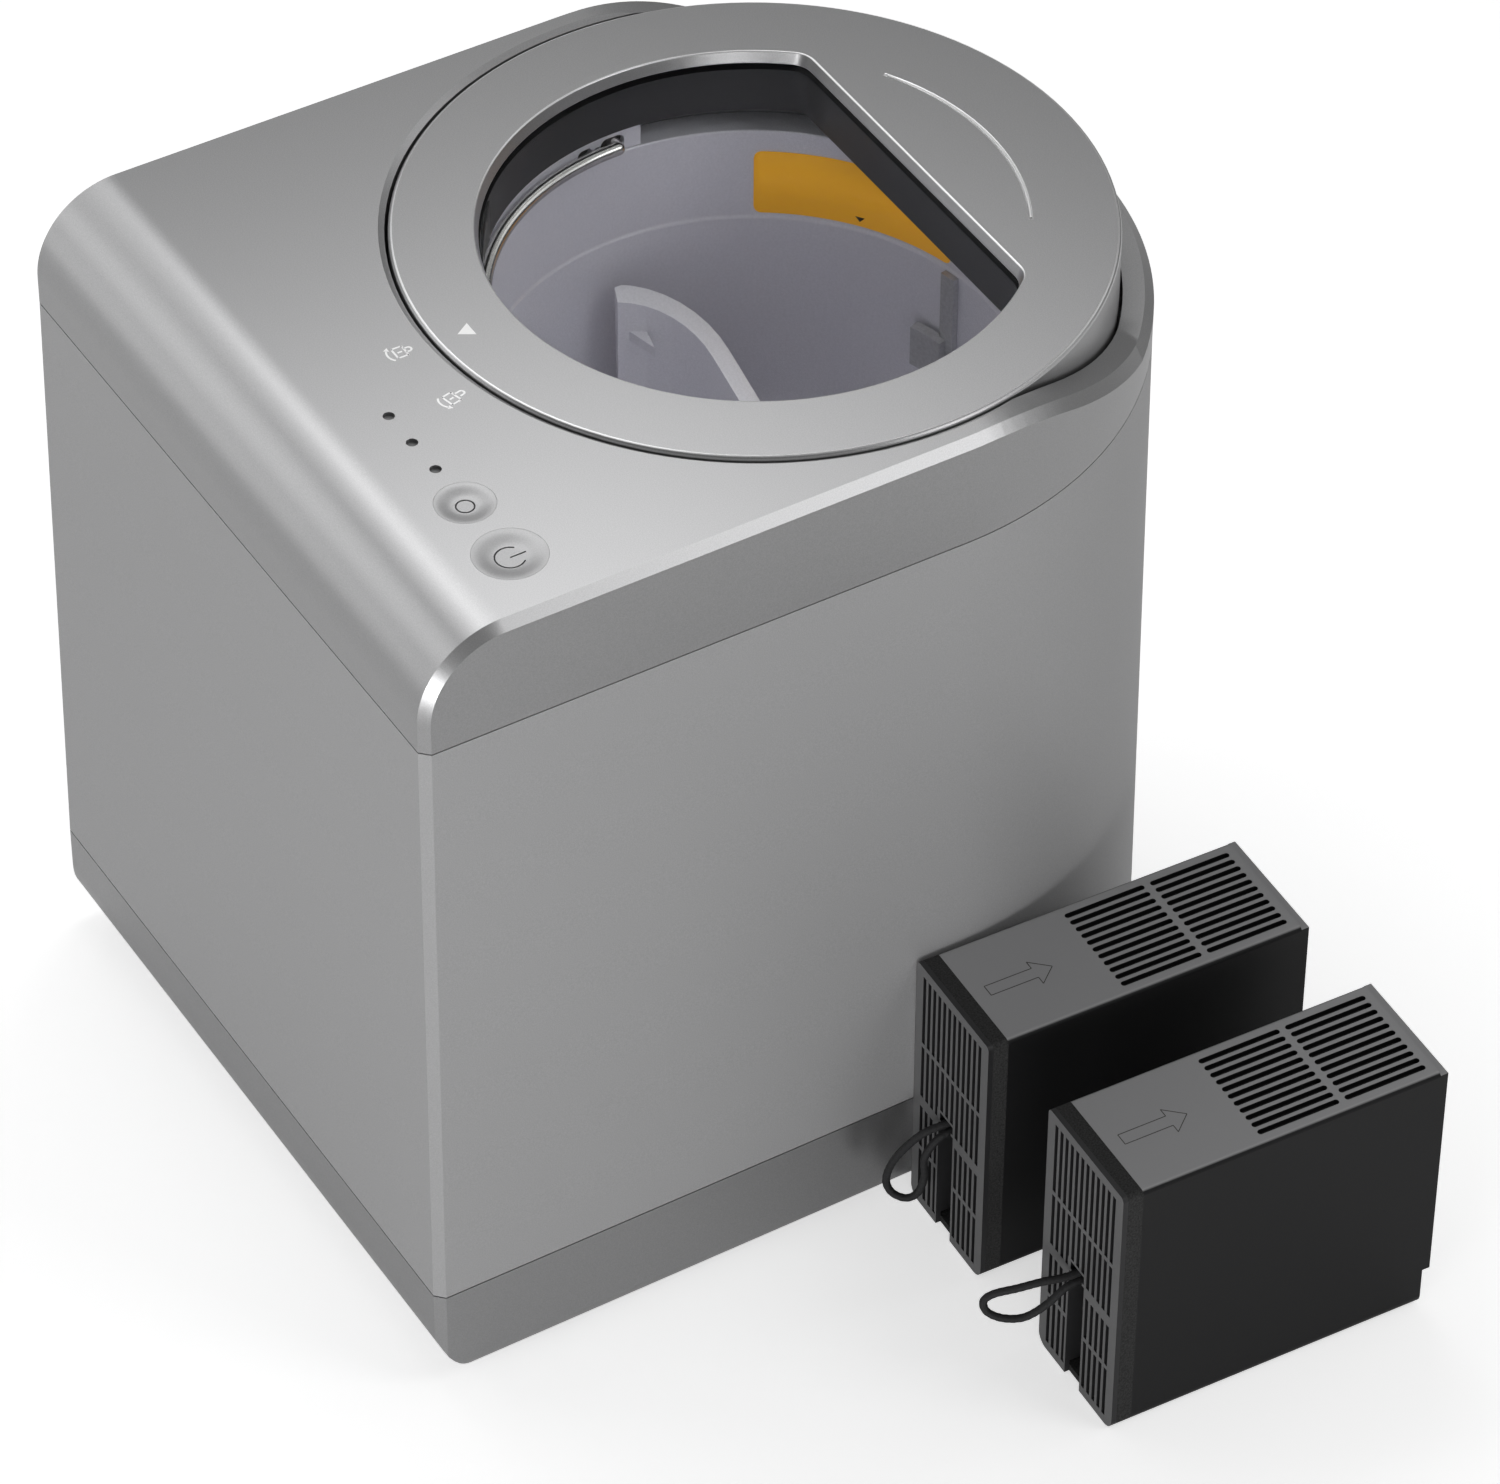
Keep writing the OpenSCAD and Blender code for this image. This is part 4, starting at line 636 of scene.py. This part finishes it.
# Well, drive and boards. The liner and the heater are bare aluminium, the motor, its plate, posts
# and cover are zinc-plated steel, the large gears are nylon, and the boards have a green mask.
bare_aluminium = textured(
    "bare_aluminium", (0.58, 0.58, 0.59), 0.38, metal=1.0, grain=300, tone=0.06, relief=0.03
)
zinc = textured("zinc_plate", (0.50, 0.51, 0.53), 0.42, metal=0.9, grain=250, tone=0.12, relief=0.03)
nylon = textured("natural_nylon", (0.72, 0.69, 0.60), 0.45, grain=500, tone=0.04, relief=0.02)
solder_mask = textured("solder_mask", (0.015, 0.10, 0.045), 0.35, grain=350, tone=0.25, relief=0.04)
dress(bare_aluminium, "well_liner", "heater_plate")
dress(zinc, "gear_plate", "gear_posts", "gear_cover", "motor", "gear_axle", "inlet_pins")
dress(nylon, "compound_gear", "output_gear")
dress(solder_mask, "control_board", "power_board")


# Studio. A pale floor and a white surround. Small softboxes hang close over the back left, where the
# top panel and the lid mirror them, and larger ones stand further off. The two that light the front
# and the right side are low and flat, so that the panel doesn't mirror them towards the back.
FLOOR_HALF = 6
FLOOR_SEEN, FLOOR_THROUGH, FLOOR_MIRRORED = 0.55, 0.55, 0.05
SURROUND_SEEN, SURROUND_THROUGH, SURROUND_MIRRORED = 1.0, 0.25, 0
SURROUND_LIGHT = 0.2
LAMPS_AIM = Vector((0, 0, 0.25))
LAMPS = [
    ("near_left", (-0.5, 0.1, 1.15), 0.6, 0.6, 0.25),
    ("near_middle", (-0.35, 0, 0.95), 0.4, 0.4, 0.48),
    ("near_back", (-0.3, 0.25, 1.0), 0.4, 0.4, 0.71),
    ("near_front", (-0.2, -0.15, 0.9), 0.4, 0.4, 0.46),
    ("left", (-1.5, -0.3, 1.6), 1.0, 1.0, 3.1),
    ("front_left", (-0.9, -1.0, 1.0), 0.7, 0.7, 2.0),
    ("low_front_left", (-1.3, -1.6, 0.4), 1.0, 0.7, 2.1),
    ("front", (1.2, -1.8, 0.28), 0.8, 0.5, 11.7),
    ("right", (2.0, -0.8, 0.28), 0.8, 0.5, 8.1),
    ("back_right", (1.3, 0.8, 1.6), 0.7, 0.7, 4.6),
    ("far_back_right", (1.5, 1.6, 1.4), 1.0, 1.0, 2.0),
    ("back", (0.2, 2.2, 1.6), 1.6, 1.0, 4.0),
]


def seen_share(tree, share, through, mirrored):
    """A share for the camera, one for rays through glass and one for mirrored rays, and 0 for the rest."""
    rays = tree.nodes.new("ShaderNodeLightPath")
    parts = {"Is Camera Ray": share, "Is Transmission Ray": through, "Is Glossy Ray": mirrored}
    level = None
    for ray, part in parts.items():
        scaled = tree.nodes.new("ShaderNodeMath")
        scaled.operation = "MULTIPLY"
        scaled.inputs[1].default_value = part
        tree.links.new(rays.outputs[ray], scaled.inputs[0])
        most = tree.nodes.new("ShaderNodeMath")
        most.operation = "MAXIMUM"
        most.inputs[1].default_value = 0
        tree.links.new(scaled.outputs["Value"], most.inputs[0])
        if level:
            tree.links.new(level, most.inputs[1])
        level = most.outputs["Value"]
    return level


floor_mesh = bpy.data.meshes.new("studio_floor")
floor_corners = [(x * FLOOR_HALF, y * FLOOR_HALF, 0) for x, y in ((-1, -1), (1, -1), (1, 1), (-1, 1))]
floor_mesh.from_pydata(floor_corners, [], [(0, 1, 2, 3)])
floor = bpy.data.objects.new("studio_floor", floor_mesh)
bpy.context.scene.collection.objects.link(floor)
floor_white = bpy.data.materials.new("floor_white")
floor_white.use_nodes = True
floor_tree = floor_white.node_tree
floor_matt = floor_tree.nodes["Principled BSDF"]
floor_matt.inputs["Base Color"].default_value = (0.93, 0.93, 0.93, 1)
floor_matt.inputs["Roughness"].default_value = 0.6
floor_matt.inputs["Specular IOR Level"].default_value = 0.2
floor_glow = floor_tree.nodes.new("ShaderNodeEmission")
floor_both = floor_tree.nodes.new("ShaderNodeAddShader")
floor_level = seen_share(floor_tree, FLOOR_SEEN, FLOOR_THROUGH, FLOOR_MIRRORED)
floor_tree.links.new(floor_level, floor_glow.inputs["Strength"])
floor_tree.links.new(floor_matt.outputs["BSDF"], floor_both.inputs[0])
floor_tree.links.new(floor_glow.outputs["Emission"], floor_both.inputs[1])
floor_tree.links.new(floor_both.outputs["Shader"], floor_tree.nodes["Material Output"].inputs["Surface"])
floor_mesh.materials.append(floor_white)

for name, at, width, height, power in LAMPS:
    light = bpy.data.lights.new(f"{name}_softbox", "AREA")
    light.shape = "RECTANGLE"
    light.size = width
    light.size_y = height
    light.energy = power
    lamp = bpy.data.objects.new(f"{name}_softbox", light)
    bpy.context.scene.collection.objects.link(lamp)
    lamp.location = at
    lamp.rotation_euler = (LAMPS_AIM - Vector(at)).to_track_quat("-Z", "Y").to_euler()

world = bpy.data.worlds.new("studio_surround")
world.use_nodes = True
bpy.context.scene.world = world
world_tree = world.node_tree
surround = world_tree.nodes["Background"]
surround.inputs["Color"].default_value = (1, 1, 1, 1)
surround.inputs["Strength"].default_value = SURROUND_LIGHT
bright = world_tree.nodes.new("ShaderNodeBackground")
bright.inputs["Color"].default_value = (1, 1, 1, 1)
bright.inputs["Strength"].default_value = 1.0
swap = world_tree.nodes.new("ShaderNodeMixShader")
world_level = seen_share(world_tree, SURROUND_SEEN, SURROUND_THROUGH, SURROUND_MIRRORED)
world_tree.links.new(world_level, swap.inputs["Fac"])
world_tree.links.new(surround.outputs["Background"], swap.inputs[1])
world_tree.links.new(bright.outputs["Background"], swap.inputs[2])
world_tree.links.new(swap.outputs["Shader"], world_tree.nodes["World Output"].inputs["Surface"])
bpy.context.scene.view_settings.view_transform = "Standard"
